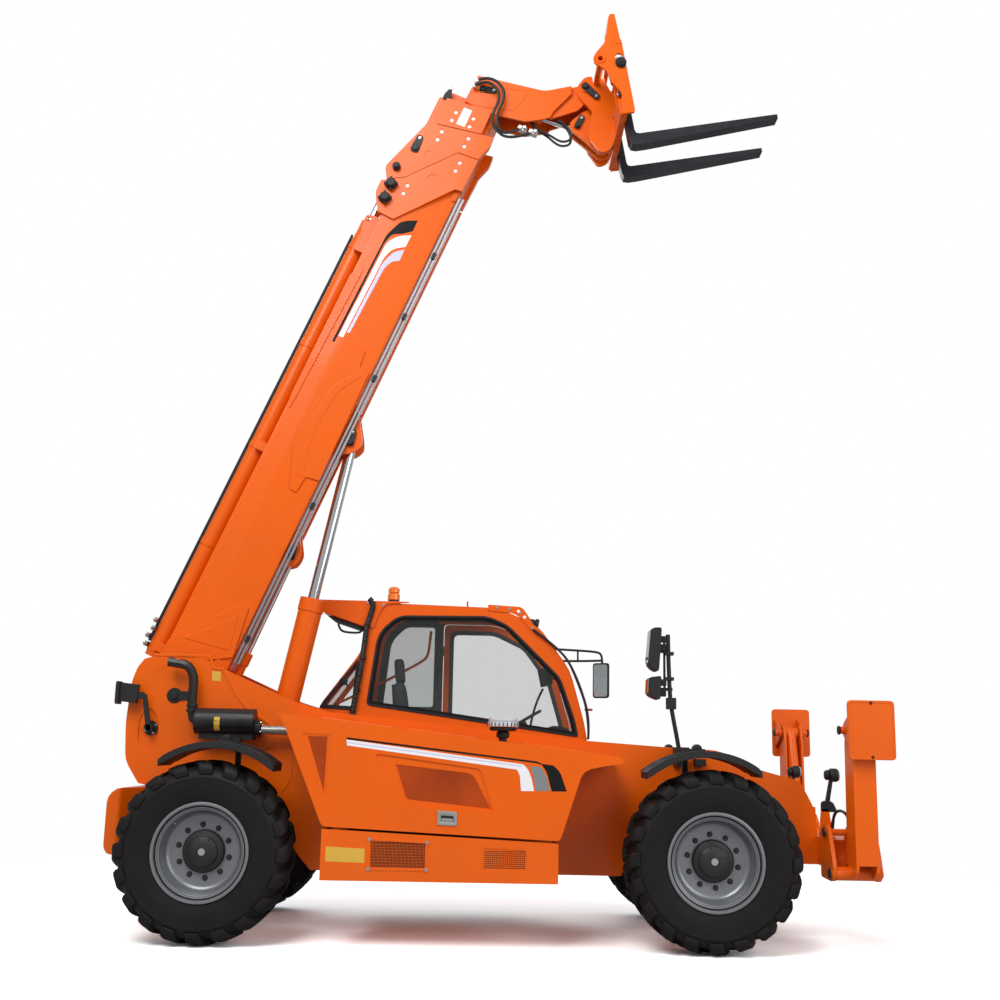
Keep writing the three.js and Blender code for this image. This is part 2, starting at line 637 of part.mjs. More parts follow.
// ---------------------------------------------------------------- cab
const cabSide = [
  [860, 1180, 60], [700, 1300, 60], [600, 1730, 60], [950, 2210, 60], [1000, 2425], [610, 2555], [585, 2655], [1380, 2645],
  [2170, 2626, 120], [2523, 2458, 60], [2791, 2095, 80], [2917, 1649, 60], [2952, 1450, 40], [2950, 1130, 60],
  [2830, 930], [870, 930],
];
const cabBox = [
  [860, 1180], [700, 1300], [600, 1730], [950, 2210], [1010, 2560], [1380, 2645], [2170, 2626], [2523, 2458], [2791, 2095],
  [2917, 1649], [2952, 1450], [2950, 1130], [2830, 930], [870, 930],
];
const rightWindow = [
  [1020, 1757, 40], [1098, 2385, 120], [1270, 2540, 80], [2060, 2550, 60], [2240, 2475, 60], [2705, 2026, 60],
  [2835, 1665, 60], [2865, 1520, 30],
];
const quarterWindow = [
  [1080, 1757, 40], [1140, 2385, 100], [1290, 2530, 60], [1580, 2530, 40], [1580, 1757, 40],
];
const rearQuarterWindow = [[652, 1748], [920, 2118], [898, 1735]];
const doorSide = [
  [door.hingeX, 985, 30], [door.hingeX, 2540, 40], [2150, 2540, 80], [2460, 2400, 60], [2715, 2055, 60],
  [2840, 1640, 60], [2868, 1450, 40], [2868, 1150, 40], [2780, 985, 30],
];
const doorWindow = [
  [door.hingeX + 75, 1480, 40], [door.hingeX + 75, 2465, 60], [2130, 2465, 60], [2410, 2335, 60],
  [2640, 2030, 60], [2755, 1640, 60], [2780, 1480, 40],
];
const screenLine = [[2210, 2612], [2523, 2458], [2791, 2095], [2917, 1649], [2945, 1490]];
const rearLine = [[612, 1775], [942, 2225], [975, 2400]];

// A band along a line in (x, z), its faces at two distances to the line's right.
function band(line, near, far) {
  const shift = (distance) => line.map(([x, z], i) => {
    const [xa, za] = line[Math.max(i - 1, 0)];
    const [xb, zb] = line[Math.min(i + 1, line.length - 1)];
    const d = new THREE.Vector2(xb - xa, zb - za).normalize();
    return [x + d.y * distance, z - d.x * distance];
  });
  return [...shift(near), ...shift(far).toReversed()];
}

const glazing = { thickness: 8, recess: 12 };

function cabShell() {
  const { rightY, leftY, wall } = cab;
  const body = prism(cabSide, "y", rightY, leftY);
  const hollow = prism(inset(cabBox, wall), "y", rightY + wall, leftY - wall);
  const doorway = prism(inset(doorSide, -door.gap), "y", leftY - wall - 5, leftY + 5);
  const mountPad = box(1200, 2600, frame.halfWidth + touch, rightY + 5, 1000, 1300);
  return join(
    cut(
      body, hollow, doorway,
      prism(rightWindow, "y", rightY - 5, rightY + wall + 5),
      prism(quarterWindow, "y", leftY - wall - 5, leftY + 5),
      prism(rearQuarterWindow, "y", rightY - 5, rightY + wall + 5),
      prism(rearQuarterWindow, "y", leftY - wall - 5, leftY + 5),
      prism(band(screenLine, -60, 110), "y", rightY + 60, leftY - 60),
      prism(band(rearLine, -60, 90), "y", rightY + 60, leftY - 60),
    ),
    mountPad,
  );
}

function cabGlass() {
  const { rightY, leftY } = cab;
  const { thickness, recess } = glazing;
  const pane = (name, corners, y) =>
    piece(name, prism(inset(corners, touch), "y", y, y + thickness), glass);
  pane("cab_right_window", rightWindow, rightY + recess);
  pane("cab_quarter_window", quarterWindow, leftY - recess - thickness);
  pane("cab_right_rear_window", rearQuarterWindow, rightY + recess);
  pane("cab_left_rear_window", rearQuarterWindow, leftY - recess - thickness);
  const across = [rightY + 60 + touch, leftY - 60 - touch];
  const shorten = (line) => {
    const trim = (from, to) => {
      const d = new THREE.Vector2(to[0] - from[0], to[1] - from[1]);
      const step = d.clone().setLength(2);
      return [from[0] + step.x, from[1] + step.y];
    };
    return [trim(line[0], line[1]), ...line.slice(1, -1), trim(line.at(-1), line.at(-2))];
  };
  piece("cab_windscreen", prism(band(shorten(screenLine), recess, recess + thickness), "y", ...across), glass);
  piece("cab_rear_window", prism(band(shorten(rearLine), recess, recess + thickness), "y", ...across), glass);
}

function doorLeaf() {
  const { leftY, wall } = cab;
  const leaf = cut(
    prism(doorSide, "y", leftY - wall, leftY),
    prism(doorWindow, "y", leftY - wall - 5, leftY + 5),
  );
  const hinge = (z) => join(
    bar("z", door.hingeX - 10, leftY + 10 + touch, 10, z, z + 90, 12),
    box(door.hingeX - 10, door.hingeX + 45, leftY + 4, leftY + 12, z, z + 90),
    box(door.hingeX + 5, door.hingeX + 45, leftY - 2, leftY + 8, z, z + 90),
  );
  return join(leaf, hinge(1120), hinge(2250));
}

const cabFloor = 930 + cab.wall + touch;

function seat() {
  return join(
    box(1420, 1820, 640, 980, cabFloor, 1240),
    prism([[1380, 1235], [1880, 1235], [1900, 1360, 60], [1450, 1340], [1330, 1990, 50], [1220, 1990, 50]],
      "y", 570, 1050),
    prism([[1225, 1950], [1330, 1950], [1310, 2190, 40], [1215, 2190, 40]], "y", 680, 940),
  );
}

function console() {
  const lean = 30;
  const hub = [2385, 810, 1650];
  const column = pipe([[2560, 810, 1350], [2480, 810, 1488], hub], 34, 4);
  const wheel = solid(new THREE.TorusGeometry(190, 16, 6, 20).rotateY(-rad(lean)).translate(...hub));
  const spokes = solid(new THREE.BoxGeometry(40, 370, 16).rotateY(-rad(lean)).translate(...hub));
  return join(
    prism([[2470, cabFloor], [2770, cabFloor], [2860, 1140], [2865, 1440, 40], [2600, 1500, 60]], "y", 560, 1080),
    column, wheel, spokes,
  );
}

// ---------------------------------------------------------------- hood and side equipment
const hoodSide = [
  [510, 1640, 20], [562, 1560], [876, 829, 30], [2625, 756, 30], [2790, 1265, 60], [2953, 1300, 40],
  [3100, 1322, 10], [3075, 1372, 20],
];

function engineHood() {
  const { outerY, innerY, sheet } = hood;
  const shell = prism(hoodSide, "y", outerY, innerY);
  const inside = prism(inset(hoodSide, sheet), "y", outerY + sheet, innerY + 5);
  const under = box(860, 2640, outerY + sheet, innerY + 5, 700, 900);
  const rearOpening = box(400, 1000, outerY + 330, innerY + 5, 700, 1600);
  const crown = solid(new THREE.BoxGeometry(4000, 300, 120).rotateX(rad(26)).rotateY(rad(6.6))
    .translate(1800, outerY - 20, 1600));
  const { hingeX, hingeY, hingeZ, hingeSlope, hingeRadius } = hood;
  const hinge = (from) => solid(new THREE.CylinderGeometry(hingeRadius, hingeRadius, 120, 12)
    .rotateZ(Math.PI / 2).translate(from, 0, 0).rotateY(rad(hingeSlope)).translate(hingeX, hingeY, hingeZ));
  return join(cut(shell, inside, under, rearOpening, crown), hinge(-900), hinge(900));
}

function lowerPanel() {
  const { outerY, sheet } = hood;
  const shape = [[877, 449], [877, 812], [2613, 739], [2613, 453]];
  return join(
    cut(
      prism(shape, "y", outerY, -700),
      prism([[900, 474], [900, 900], [2590, 900], [2590, 474]], "y", outerY + sheet, -600),
    ),
    box(950, 2550, -701, -frame.halfWidth - touch, 449, 474),
  );
}

function exhaust() {
  const y = -490;
  const silencer = bar("x", y, 1580, 100, -245, 225, 24);
  const saddle = box(-215, 215, -520, -frame.halfWidth - touch, 1440, 1540);
  const tail = pipe([[-200, y, 1560], [-262, y, 1580], [-286, y, 1660], [-290, y, 1800], [-294, y, 1930],
    [-340, y, 2010], [-430, y, 2035], [-500, y, 2042]], 38, 16);
  const inlet = bar("x", y, 1515, 30, 200, 1050 - touch, 12);
  const flange = bar("x", y, 1530, 62, 222, 256, 12);
  return join(silencer, saddle, tail, inlet, flange);
}

function rightMirrors() {
  const y = -550;
  return join(
    box(3580, 3640, y - 20, -frame.halfWidth - touch, 1330, 1420),
    pipe([[3612, y, 1340], [3590, y, 1480], [3535, y, 1800], [3522, y, 2050], [3516, y, 2340]], 18, 10),
    box(3400, 3530, y - 12, y + 12, 2190, 2214),
    box(3400, 3550, y - 12, y + 12, 1890, 1914),
    prism([[3345, 2080, 40], [3370, 2385, 30], [3455, 2390, 20], [3430, 2030, 30]], "y", y - 100, y + 100),
    prism([[3345, 1850, 30], [3350, 1990, 20], [3450, 2005, 20], [3440, 1812, 20]], "y", y - 100, y + 100),
  );
}

function leftMirror() {
  const y = 1290;
  const base = cab.leftY + touch;
  return join(
    box(2510, 2560, base, base + 25, 2338, 2375),
    pipe([[2535, base + 12, 2357], [2600, 1262, 2362], [2700, y, 2365], [2960, y, 2362], [3105, y, 2340],
      [3130, y, 2150]], 12, 12),
    prism([[3085, 1880, 40], [3105, 2250, 40], [3160, 2250, 20], [3145, 1880, 20]], "y", y - 95, y + 60),
  );
}

function fuelTank() {
  const tank = prism([[frame.halfWidth + touch, 480, 30], [1120, 480, 60], [1120, 900, 60],
    [frame.halfWidth + touch, 900, 30]], "x", 950, 2450);
  const step = (z) => box(1700, 2350, 1080, 1195, z, z + 30);
  return join(tank, step(520), step(790), box(1700, 1725, 1080, 1190, 520, 820),
    box(2325, 2350, 1080, 1190, 520, 820));
}

// ---------------------------------------------------------------- stabilisers
const earPlates = [[4660, 4690], [5000, 5030]];
const ramEars = [[4825, 4845], [4925, 4945]];
const legRam = { barrelRadius: 50, rodRadius: 26, pinRadius: 25, topPinRadius: 28, barrelLength: 640,
  eyeRadius: 46, halfEye: 60 };

function frontBeam() {
  const ear = [[700, 500, 20], [1000, 490, 40], [1050, 560, 40], [1030, 640, 40], [920, 880, 40], [800, 900, 40],
    [700, 820]];
  const ramEar = [[740, 600], [800, 600], [900, 800, 30], [900, 880, 30], [820, 880, 30], [740, 760]];
  const ends = bothSides((s) => join(
    ...earPlates.map(([x0, x1]) => prism(ear.map(([y, z, r]) => [s * y, z, r]), "x", x0, x1)),
    box(earPlates[0][0], earPlates[1][1], ...spanY(s, 700, 780), 540, 780),
    bar("x", s * leg.pivotY, leg.pivotZ, leg.pinRadius, earPlates[0][0] - 12, earPlates[1][1] + 12),
    ...ramEars.map(([x0, x1]) => prism(ramEar.map(([y, z, r]) => [s * y, z, r]), "x", x0, x1)),
    bar("x", s * leg.ramY, leg.ramZ, legRam.pinRadius, earPlates[0][0] - 12, ramEars[0][1]),
    bar("x", s * leg.ramY, leg.ramZ, legRam.pinRadius, ramEars[1][0], earPlates[1][1] + 12),
  ));
  return join(box(frame.front, 4990, -760, 760, 560, 780), ends);
}

function stabiliserLeg(s) {
  const { x0, x1, pivotY, pivotZ, topY, topZ, outerY, innerY, plate, pinRadius } = leg;
  const [w0, w1] = spanY(s, outerY - plate, outerY);
  const flange = [[innerY + 40, 495, 30], [outerY, 560, 40], [outerY, 1670, 20], [topY - 60, 1670, 40],
    [innerY + 20, 1500], [innerY, 700], [innerY + 20, 520, 20]].map(([y, z, r]) => [s * y, z, r]);
  return cut(
    join(
      box(x0, x1, w0, w1, 620, 1670),
      prism(flange, "x", x0, x0 + plate),
      prism(flange, "x", x1 - plate, x1),
      bar("x", s * pivotY, pivotZ, 50, earPlates[0][1] + touch, earPlates[1][0] - touch),
      bar("x", s * topY, topZ, 28, foot.x0 - 15, x1 + 65),
    ),
    bore("x", s * pivotY, pivotZ, pinRadius, 4500, 5200),
  );
}

function stabiliserFoot(s) {
  const { x0, x1, z0, z1, innerY, plate } = foot;
  const { topY, topZ, outerY } = leg;
  const pad = prism([[x0, z0, 30], [x1, z0, 30], [x1, z1, 30], [x0, z1, 30]], "y",
    ...spanY(s, innerY, innerY + plate));
  const ear = [[innerY + 5, topZ - 130], [innerY + 5, topZ + 130], [topY - 20, topZ + 50, 40],
    [topY - 50, topZ, 30], [topY - 20, topZ - 50, 40]].map(([y, z, r]) => [s * y, z, r]);
  return cut(
    join(
      pad,
      prism(ear, "x", leg.x0 - 30, leg.x0 - 8),
      prism(ear, "x", leg.x1 + 8, leg.x1 + 30),
      box(leg.x0 + 40, leg.x1 - 40, ...spanY(s, outerY + touch, innerY + 5), z0 + 10, z0 + 60),
    ),
    bore("x", s * topY, topZ, 28, 4500, 5200),
  );
}

// The ram's barrel hangs from the leg's top pin and its rod ends at the beam's pin.
function stabiliserRam(s, name) {
  const span = Math.hypot(leg.topY - leg.ramY, leg.topZ - leg.ramZ);
  const middle = (leg.x0 + leg.x1) / 2;
  const upright = new THREE.Group();
  upright.position.set(middle, s * leg.topY, leg.topZ);
  upright.rotation.x = -s * Math.atan2(leg.topY - leg.ramY, leg.topZ - leg.ramZ);
  machine.add(upright);
  const { barrelRadius, rodRadius, topPinRadius, barrelLength, eyeRadius, halfEye } = legRam;
  const barrel = cut(
    join(
      bar("x", 0, 0, eyeRadius, -halfEye, halfEye),
      bar("z", 0, 0, barrelRadius, -barrelLength, 0, ramSides),
    ),
    bore("x", 0, 0, topPinRadius, -200, 200),
    bar("z", 0, 0, rodRadius + 8, -barrelLength + 30, -90),
    bore("z", 0, 0, rodRadius, -barrelLength - 1, -barrelLength + 40),
  );
  const rodHalf = (ramEars[1][0] - ramEars[0][1]) / 2 - touch;
  const rod = join(
    bar("x", 0, -span, 42, -rodHalf, rodHalf),
    bar("z", 0, 0, rodRadius, -span + 10, -100),
  );
  piece(name + "_ram_barrel", barrel, orange, upright);
  piece(name + "_ram_rod", rod, chrome, upright);
}

// ---------------------------------------------------------------- assembly
piece("main_frame", mainFrame(), orange);
piece("counterweight", counterweight(), orange);
piece("front_beam", frontBeam(), orange);
piece("engine_block", box(1050, 2100, -1000, -frame.halfWidth - touch, 560, 1330), castBlack);
runningGear();

piece("boom_outer", boomOuter(), orange, boomFrame);
piece("boom_second", boomSecond(), orange, boomFrame);
piece("boom_third", boomTube(2), orange, boomFrame);
piece("boom_head", boomHead(), orange, boomFrame);
extensionRam();

ramPair("lift", liftRam, [liftRam.baseX, liftRam.baseZ], liftEye);
ramPair("levelling", levelRam, [levelRam.baseX, levelRam.baseZ], levelEye);
ramPair("tilt", tiltRam, tiltBase, tiltEye);

const forkFrame = group(fork.shaftX, fork.shaftZ, carriage.lean);
piece("coupler", coupler(), orange, forkFrame);
piece("fork_carriage", forkCarriage(), orange, forkFrame);
for (const [name, s] of [["fork_right", -1], ["fork_left", 1]]) {
  const place = new THREE.Group();
  place.position.y = s * fork.centreY;
  forkFrame.add(place);
  piece(name, forkSolid(), forkSteel, place);
}

piece("cab_shell", cabShell(), orange);
cabGlass();
piece("cab_door", doorLeaf(), orange);
piece("cab_door_glass", prism(inset(doorWindow, touch), "y", cab.leftY - glazing.recess - glazing.thickness,
  cab.leftY - glazing.recess), glass);
piece("seat", seat(), cloth);
piece("console", console(), black);

piece("engine_hood", engineHood(), orange);
piece("lower_panel", lowerPanel(), orange);
piece("exhaust", exhaust(), black);
piece("right_mirrors", rightMirrors(), black);
piece("left_mirror", leftMirror(), black);
piece("fuel_tank", fuelTank(), black);

for (const [name, s] of [["right", -1], ["left", 1]]) {
  piece("stabiliser_leg_" + name, stabiliserLeg(s), orange);
  piece("stabiliser_foot_" + name, stabiliserFoot(s), orange);
  stabiliserRam(s, "stabiliser_" + name);
}

// The part's origin is on the ground under the middle of the machine's box.
const part = new THREE.Group();
part.add(machine);
part.updateMatrixWorld(true);
const bounds = new THREE.Box3().setFromObject(part, true);
machine.position.x = -(bounds.min.x + bounds.max.x) / 2;
machine.position.y = -(bounds.min.y + bounds.max.y) / 2;

export default part;
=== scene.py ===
import json
import math

import bmesh
import bpy
from mathutils import Matrix, Vector

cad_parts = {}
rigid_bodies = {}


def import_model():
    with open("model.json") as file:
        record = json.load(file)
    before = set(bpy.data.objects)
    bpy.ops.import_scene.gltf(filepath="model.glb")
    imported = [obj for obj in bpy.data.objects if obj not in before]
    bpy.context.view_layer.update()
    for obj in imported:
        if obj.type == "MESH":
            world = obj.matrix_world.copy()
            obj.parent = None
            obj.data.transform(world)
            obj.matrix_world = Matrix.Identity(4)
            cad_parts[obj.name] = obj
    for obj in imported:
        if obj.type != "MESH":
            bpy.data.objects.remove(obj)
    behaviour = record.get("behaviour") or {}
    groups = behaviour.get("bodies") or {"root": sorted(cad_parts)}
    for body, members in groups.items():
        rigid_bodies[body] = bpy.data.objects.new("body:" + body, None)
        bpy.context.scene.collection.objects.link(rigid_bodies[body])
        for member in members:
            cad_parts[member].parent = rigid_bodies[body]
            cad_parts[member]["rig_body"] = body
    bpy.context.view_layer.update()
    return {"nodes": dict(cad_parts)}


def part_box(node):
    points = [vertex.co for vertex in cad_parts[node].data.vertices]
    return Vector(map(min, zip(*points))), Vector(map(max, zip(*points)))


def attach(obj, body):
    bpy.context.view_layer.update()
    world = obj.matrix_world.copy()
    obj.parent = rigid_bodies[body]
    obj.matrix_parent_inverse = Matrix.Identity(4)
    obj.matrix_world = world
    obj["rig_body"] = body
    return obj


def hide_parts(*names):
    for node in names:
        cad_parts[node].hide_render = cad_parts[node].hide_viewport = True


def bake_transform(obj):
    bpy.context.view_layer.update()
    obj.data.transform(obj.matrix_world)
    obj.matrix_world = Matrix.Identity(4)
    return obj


for old in list(bpy.data.objects):
    bpy.data.objects.remove(old)
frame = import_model()
print("frame loaded")

# Everything is drawn from the rear axle's middle, with heights from a datum under the wheel centres.
axleHeight = 0.627
wheelbase = 3.766
rightRim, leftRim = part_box("rim_rear_right"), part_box("rim_rear_left")
origin = Vector((
    (rightRim[0].x + rightRim[1].x) / 2,
    (rightRim[0].y + leftRim[1].y) / 2,
    (rightRim[0].z + rightRim[1].z) / 2 - axleHeight,
))
pivot = Vector((-0.463, 1.779))
boomAngle = math.radians(67.1)
lean = math.radians(10)
shaft = Vector((3.124, 7.375))
trackHalf = 0.9875
boomFace = 0.195
boomFold = 0.075
boomTurn = Matrix.Rotation(-boomAngle, 4, "Y")


def boomPoint(s, t):
    c, n = math.cos(boomAngle), math.sin(boomAngle)
    return pivot.x + s * c - t * n, pivot.y + s * n + t * c


def leanPoint(x, z):
    c, n = math.cos(lean), math.sin(lean)
    return shaft.x + x * c - z * n, shaft.y + x * n + z * c


def boomSpot(s, t, y=0.0):
    x, z = boomPoint(s, t)
    return x, y, z


def leanSpot(x, z, y):
    x, z = leanPoint(x, z)
    return x, y, z


def span(side, a, b):
    # two distances from the middle plane, as low and high on the given side
    return sorted((side * a, side * b))


# shared shader groups
def newGroup(name, inputs, outputs):
    group = bpy.data.node_groups.new(name, "ShaderNodeTree")
    for label, kind, value in inputs:
        socket = group.interface.new_socket(label, in_out="INPUT", socket_type=kind)
        socket.default_value = value
    for label, kind in outputs:
        group.interface.new_socket(label, in_out="OUTPUT", socket_type=kind)
    return group, group.nodes.new("NodeGroupInput"), group.nodes.new("NodeGroupOutput")


def noise(tree, scale, detail=3, rough=0.55):
    coords = tree.nodes.new("ShaderNodeTexCoord")
    node = tree.nodes.new("ShaderNodeTexNoise")
    node.inputs["Scale"].default_value = scale
    node.inputs["Detail"].default_value = detail
    node.inputs["Roughness"].default_value = rough
    tree.links.new(coords.outputs["Object"], node.inputs["Vector"])
    return node


def ramp(tree, source, low, high, start=0.0, end=1.0):
    node = tree.nodes.new("ShaderNodeMapRange")
    node.inputs["From Min"].default_value = low
    node.inputs["From Max"].default_value = high
    node.inputs["To Min"].default_value = start
    node.inputs["To Max"].default_value = end
    tree.links.new(source, node.inputs["Value"])
    return node.outputs["Result"]


def math2(tree, operation, a, b):
    node = tree.nodes.new("ShaderNodeMath")
    node.operation = operation
    for socket, value in zip(node.inputs, (a, b)):
        if isinstance(value, (int, float)):
            socket.default_value = value
        else:
            tree.links.new(value, socket)
    return node.outputs[0]


def surfaceGroup():
    group, inside, outside = newGroup(
        "fine grain",
        [("Scale", "NodeSocketFloat", 60.0)],
        [("Tone", "NodeSocketFloat"), ("Height", "NodeSocketFloat")],
    )
    coarse = noise(group, 1.7, 4)
    fine = noise(group, 60, 2)
    group.links.new(inside.outputs["Scale"], fine.inputs["Scale"])
    group.links.new(ramp(group, coarse.outputs[0], 0.3, 0.7), outside.inputs["Tone"])
    group.links.new(fine.outputs[0], outside.inputs["Height"])
    return group


def dustGroup():
    group, inside, outside = newGroup(
        "road dust",
        [("Top", "NodeSocketFloat", 1.0), ("Amount", "NodeSocketFloat", 0.5)],
        [("Mask", "NodeSocketFloat")],
    )
    coords = group.nodes.new("ShaderNodeTexCoord")
    split = group.nodes.new("ShaderNodeSeparateXYZ")
    group.links.new(coords.outputs["Object"], split.inputs[0])
    height = math2(group, "DIVIDE", split.outputs["Z"], inside.outputs["Top"])
    low = math2(group, "SUBTRACT", 1.0, height)
    spots = ramp(group, noise(group, 9, 5, 0.65).outputs[0], 0.35, 0.7)
    mask = math2(group, "MULTIPLY", ramp(group, low, 0.0, 1.0), spots)
    group.links.new(math2(group, "MULTIPLY", mask, inside.outputs["Amount"]), outside.inputs["Mask"])
    return group


def wearGroup():
    group, inside, outside = newGroup(
        "edge wear",
        [("Amount", "NodeSocketFloat", 0.5)],
        [("Mask", "NodeSocketFloat")],
    )
    geometry = group.nodes.new("ShaderNodeNewGeometry")
    edge = ramp(group, geometry.outputs["Pointiness"], 0.53, 0.62)
    spots = ramp(group, noise(group, 14, 4).outputs[0], 0.45, 0.6)
    mask = math2(group, "MULTIPLY", edge, spots)
    group.links.new(math2(group, "MULTIPLY", mask, inside.outputs["Amount"]), outside.inputs["Mask"])
    return group


grain, dust, wear = surfaceGroup(), dustGroup(), wearGroup()


def useGroup(tree, group, **values):
    node = tree.nodes.new("ShaderNodeGroup")
    node.node_tree = group
    for label, value in values.items():
        node.inputs[label].default_value = value
    return node


def mixColour(tree, mask, a, b):
    node = tree.nodes.new("ShaderNodeMix")
    node.data_type = "RGBA"
    for index, value in ((6, a), (7, b)):
        if isinstance(value, (tuple, list)):
            node.inputs[index].default_value = (*value[:3], 1)
        else:
            tree.links.new(value, node.inputs[index])
    if isinstance(mask, (int, float)):
        node.inputs[0].default_value = mask
    else:
        tree.links.new(mask, node.inputs[0])
    return node.outputs[2]


def finish(name, colour, roughness, metallic=0.0, coat=0.0, tone=0.88, bump=0.0006, grainScale=60,
           dustAmount=0.0, dustTop=1.2, wearAmount=0.0, wearColour=(0.3, 0.3, 0.31), spread=0.08, specular=0.5):
    material = bpy.data.materials.new(name)
    material.use_nodes = True
    tree = material.node_tree
    shader = tree.nodes["Principled BSDF"]
    shader.inputs["Metallic"].default_value = metallic
    shader.inputs["Coat Weight"].default_value = coat
    shader.inputs["Specular IOR Level"].default_value = specular
    shader.inputs["Coat Roughness"].default_value = 0.08
    surface = useGroup(tree, grain, Scale=grainScale)
    base = mixColour(tree, surface.outputs["Tone"], tuple(c * tone for c in colour), colour)
    rough = ramp(tree, surface.outputs["Tone"], 0, 1, roughness + spread, max(roughness - spread, 0.02))
    if wearAmount:
        mask = useGroup(tree, wear, Amount=wearAmount).outputs["Mask"]
        base = mixColour(tree, mask, base, wearColour)
    if dustAmount:
        mask = useGroup(tree, dust, Top=dustTop, Amount=dustAmount).outputs["Mask"]
        base = mixColour(tree, mask, base, (0.30, 0.25, 0.20))
        rough = math2(tree, "ADD", rough, math2(tree, "MULTIPLY", mask, 0.35))
    tree.links.new(base, shader.inputs["Base Color"])
    tree.links.new(rough, shader.inputs["Roughness"])
    if bump:
        node = tree.nodes.new("ShaderNodeBump")
        node.inputs["Strength"].default_value = 0.35
        node.inputs["Distance"].default_value = bump
        tree.links.new(surface.outputs["Height"], node.inputs["Height"])
        tree.links.new(node.outputs[0], shader.inputs["Normal"])
    return material


def glassFinish(name, colour, roughness, alpha=0.3):
    material = bpy.data.materials.new(name)
    material.use_nodes = True
    tree = material.node_tree
    shader = tree.nodes["Principled BSDF"]
    surface = useGroup(tree, grain, Scale=8)
    tree.links.new(mixColour(tree, surface.outputs["Tone"], tuple(c * 0.94 for c in colour), colour),
                   shader.inputs["Base Color"])
    tree.links.new(ramp(tree, surface.outputs["Tone"], 0, 1, roughness, roughness + 0.03),
                   shader.inputs["Roughness"])
    shader.inputs["Alpha"].default_value = alpha
    shader.inputs["IOR"].default_value = 1.45
    return material


orangePaint = finish("orangePaint", (0.82, 0.119, 0.001), 0.31, coat=0.10, tone=0.92, bump=0.0003, grainScale=220,
                     dustAmount=0.04, dustTop=1.0, spread=0.05, specular=0.25)
# darker orange for the hood's recess panels: painted shade of the recesses and of the holes in the perforated
# panel
orangeMesh = finish("orangeMesh", (0.50, 0.060, 0.002), 0.55, tone=0.6, bump=0.002, grainScale=900, spread=0.1,
                    specular=0.2)
nylonWhite = finish("nylonWhite", (0.85, 0.85, 0.82), 0.4, tone=0.95, bump=0.0002, grainScale=200)
blackPaint = finish("blackPaint", (0.011, 0.0105, 0.011), 0.46, coat=0.1, bump=0.0005, grainScale=160,
                    dustAmount=0.03, specular=0.35, wearAmount=0.3, wearColour=(0.08, 0.08, 0.085))
castBlack = finish("castBlack", (0.011, 0.011, 0.012), 0.5, bump=0.0015, grainScale=90, dustAmount=0.08,
                   dustTop=1.6, specular=0.4)
tyreRubber = finish("tyreRubber", (0.0075, 0.0060, 0.0060), 0.60, tone=0.7, bump=0.0012, grainScale=130,
                    dustAmount=0.015, dustTop=2.6, spread=0.1, specular=0.22)
rimSilver = finish("rimSilver", (0.23, 0.24, 0.26), 0.36, metallic=0.55, coat=0.2, bump=0.0004, grainScale=180,
                   dustAmount=0.12, dustTop=1.6)
chromeRod = finish("chromeRod", (0.72, 0.73, 0.75), 0.12, metallic=1.0, tone=0.93, bump=0.0001, grainScale=300,
                   spread=0.03)
zincPlate = finish("zincPlate", (0.55, 0.55, 0.53), 0.32, metallic=0.9, bump=0.0003, grainScale=250)
pipeSteel = finish("pipeSteel", (0.36, 0.36, 0.38), 0.34, metallic=0.7, tone=0.85, bump=0.0002, grainScale=260)
forkSteel = finish("forkSteel", (0.018, 0.020, 0.025), 0.40, metallic=0.4, bump=0.0006, grainScale=160,
                   wearAmount=0.12, wearColour=(0.16, 0.16, 0.17))
hoseRubber = finish("hoseRubber", (0.012, 0.012, 0.013), 0.5, bump=0.0008, grainScale=260)
# black plastic for trims, lamps and guides; the same black is painted shade in the notches of the stabiliser
# feet's rims
blackPlastic = finish("blackPlastic", (0.011, 0.011, 0.012), 0.55, bump=0.0008, grainScale=420, specular=0.4)
seatCloth = finish("seatCloth", (0.035, 0.036, 0.042), 0.85, tone=0.75, bump=0.002, grainScale=700)
cabLining = finish("cabLining", (0.045, 0.045, 0.048), 0.7, bump=0.001, grainScale=350)
stripeWhite = finish("stripeWhite", (0.86, 0.85, 0.88), 0.3, coat=0.3, tone=0.97, bump=0.0001)
stripeLilac = finish("stripeLilac", (0.62, 0.60, 0.78), 0.3, coat=0.3, tone=0.97, bump=0.0001)
stripeGrey = finish("stripeGrey", (0.36, 0.38, 0.38), 0.22, metallic=0.6, coat=0.3, tone=0.9, bump=0.0001)
# black for stripes and glass borders; the same black is painted shade in the vent slots
stripeBlack = finish("stripeBlack", (0.009, 0.009, 0.009), 0.5, bump=0.0001, specular=0.15)
labelYellow = finish("labelYellow", (0.72, 0.42, 0.05), 0.4, bump=0.0001)
amberLens = finish("amberLens", (0.95, 0.22, 0.01), 0.15, coat=0.8, bump=0.0004, grainScale=40)
redLens = finish("redLens", (0.5, 0.01, 0.008), 0.15, coat=0.8, bump=0.0004, grainScale=40)
clearLens = finish("clearLens", (0.75, 0.78, 0.82), 0.08, metallic=0.35, coat=1.0, bump=0.0008, grainScale=70)
mirrorFace = finish("mirrorFace", (0.85, 0.87, 0.88), 0.03, metallic=1.0, tone=0.98, bump=0.0, spread=0.0)
cabGlass = glassFinish("cabGlass", (0.10, 0.13, 0.12), 0.02, 0.13)
tintedGlass = glassFinish("tintedGlass", (0.06, 0.28, 0.19), 0.02, 0.34)
print("finishes made")


# mesh helpers
def addObject(name, mesh, material=None):
    thing = bpy.data.objects.new(name, mesh)
    bpy.context.scene.collection.objects.link(thing)
    if material:
        mesh.materials.clear()
        mesh.materials.append(material)
    return thing


def meshFrom(bm, name):
    mesh = bpy.data.meshes.new(name)
    bm.to_mesh(mesh)
    bm.free()
    return mesh


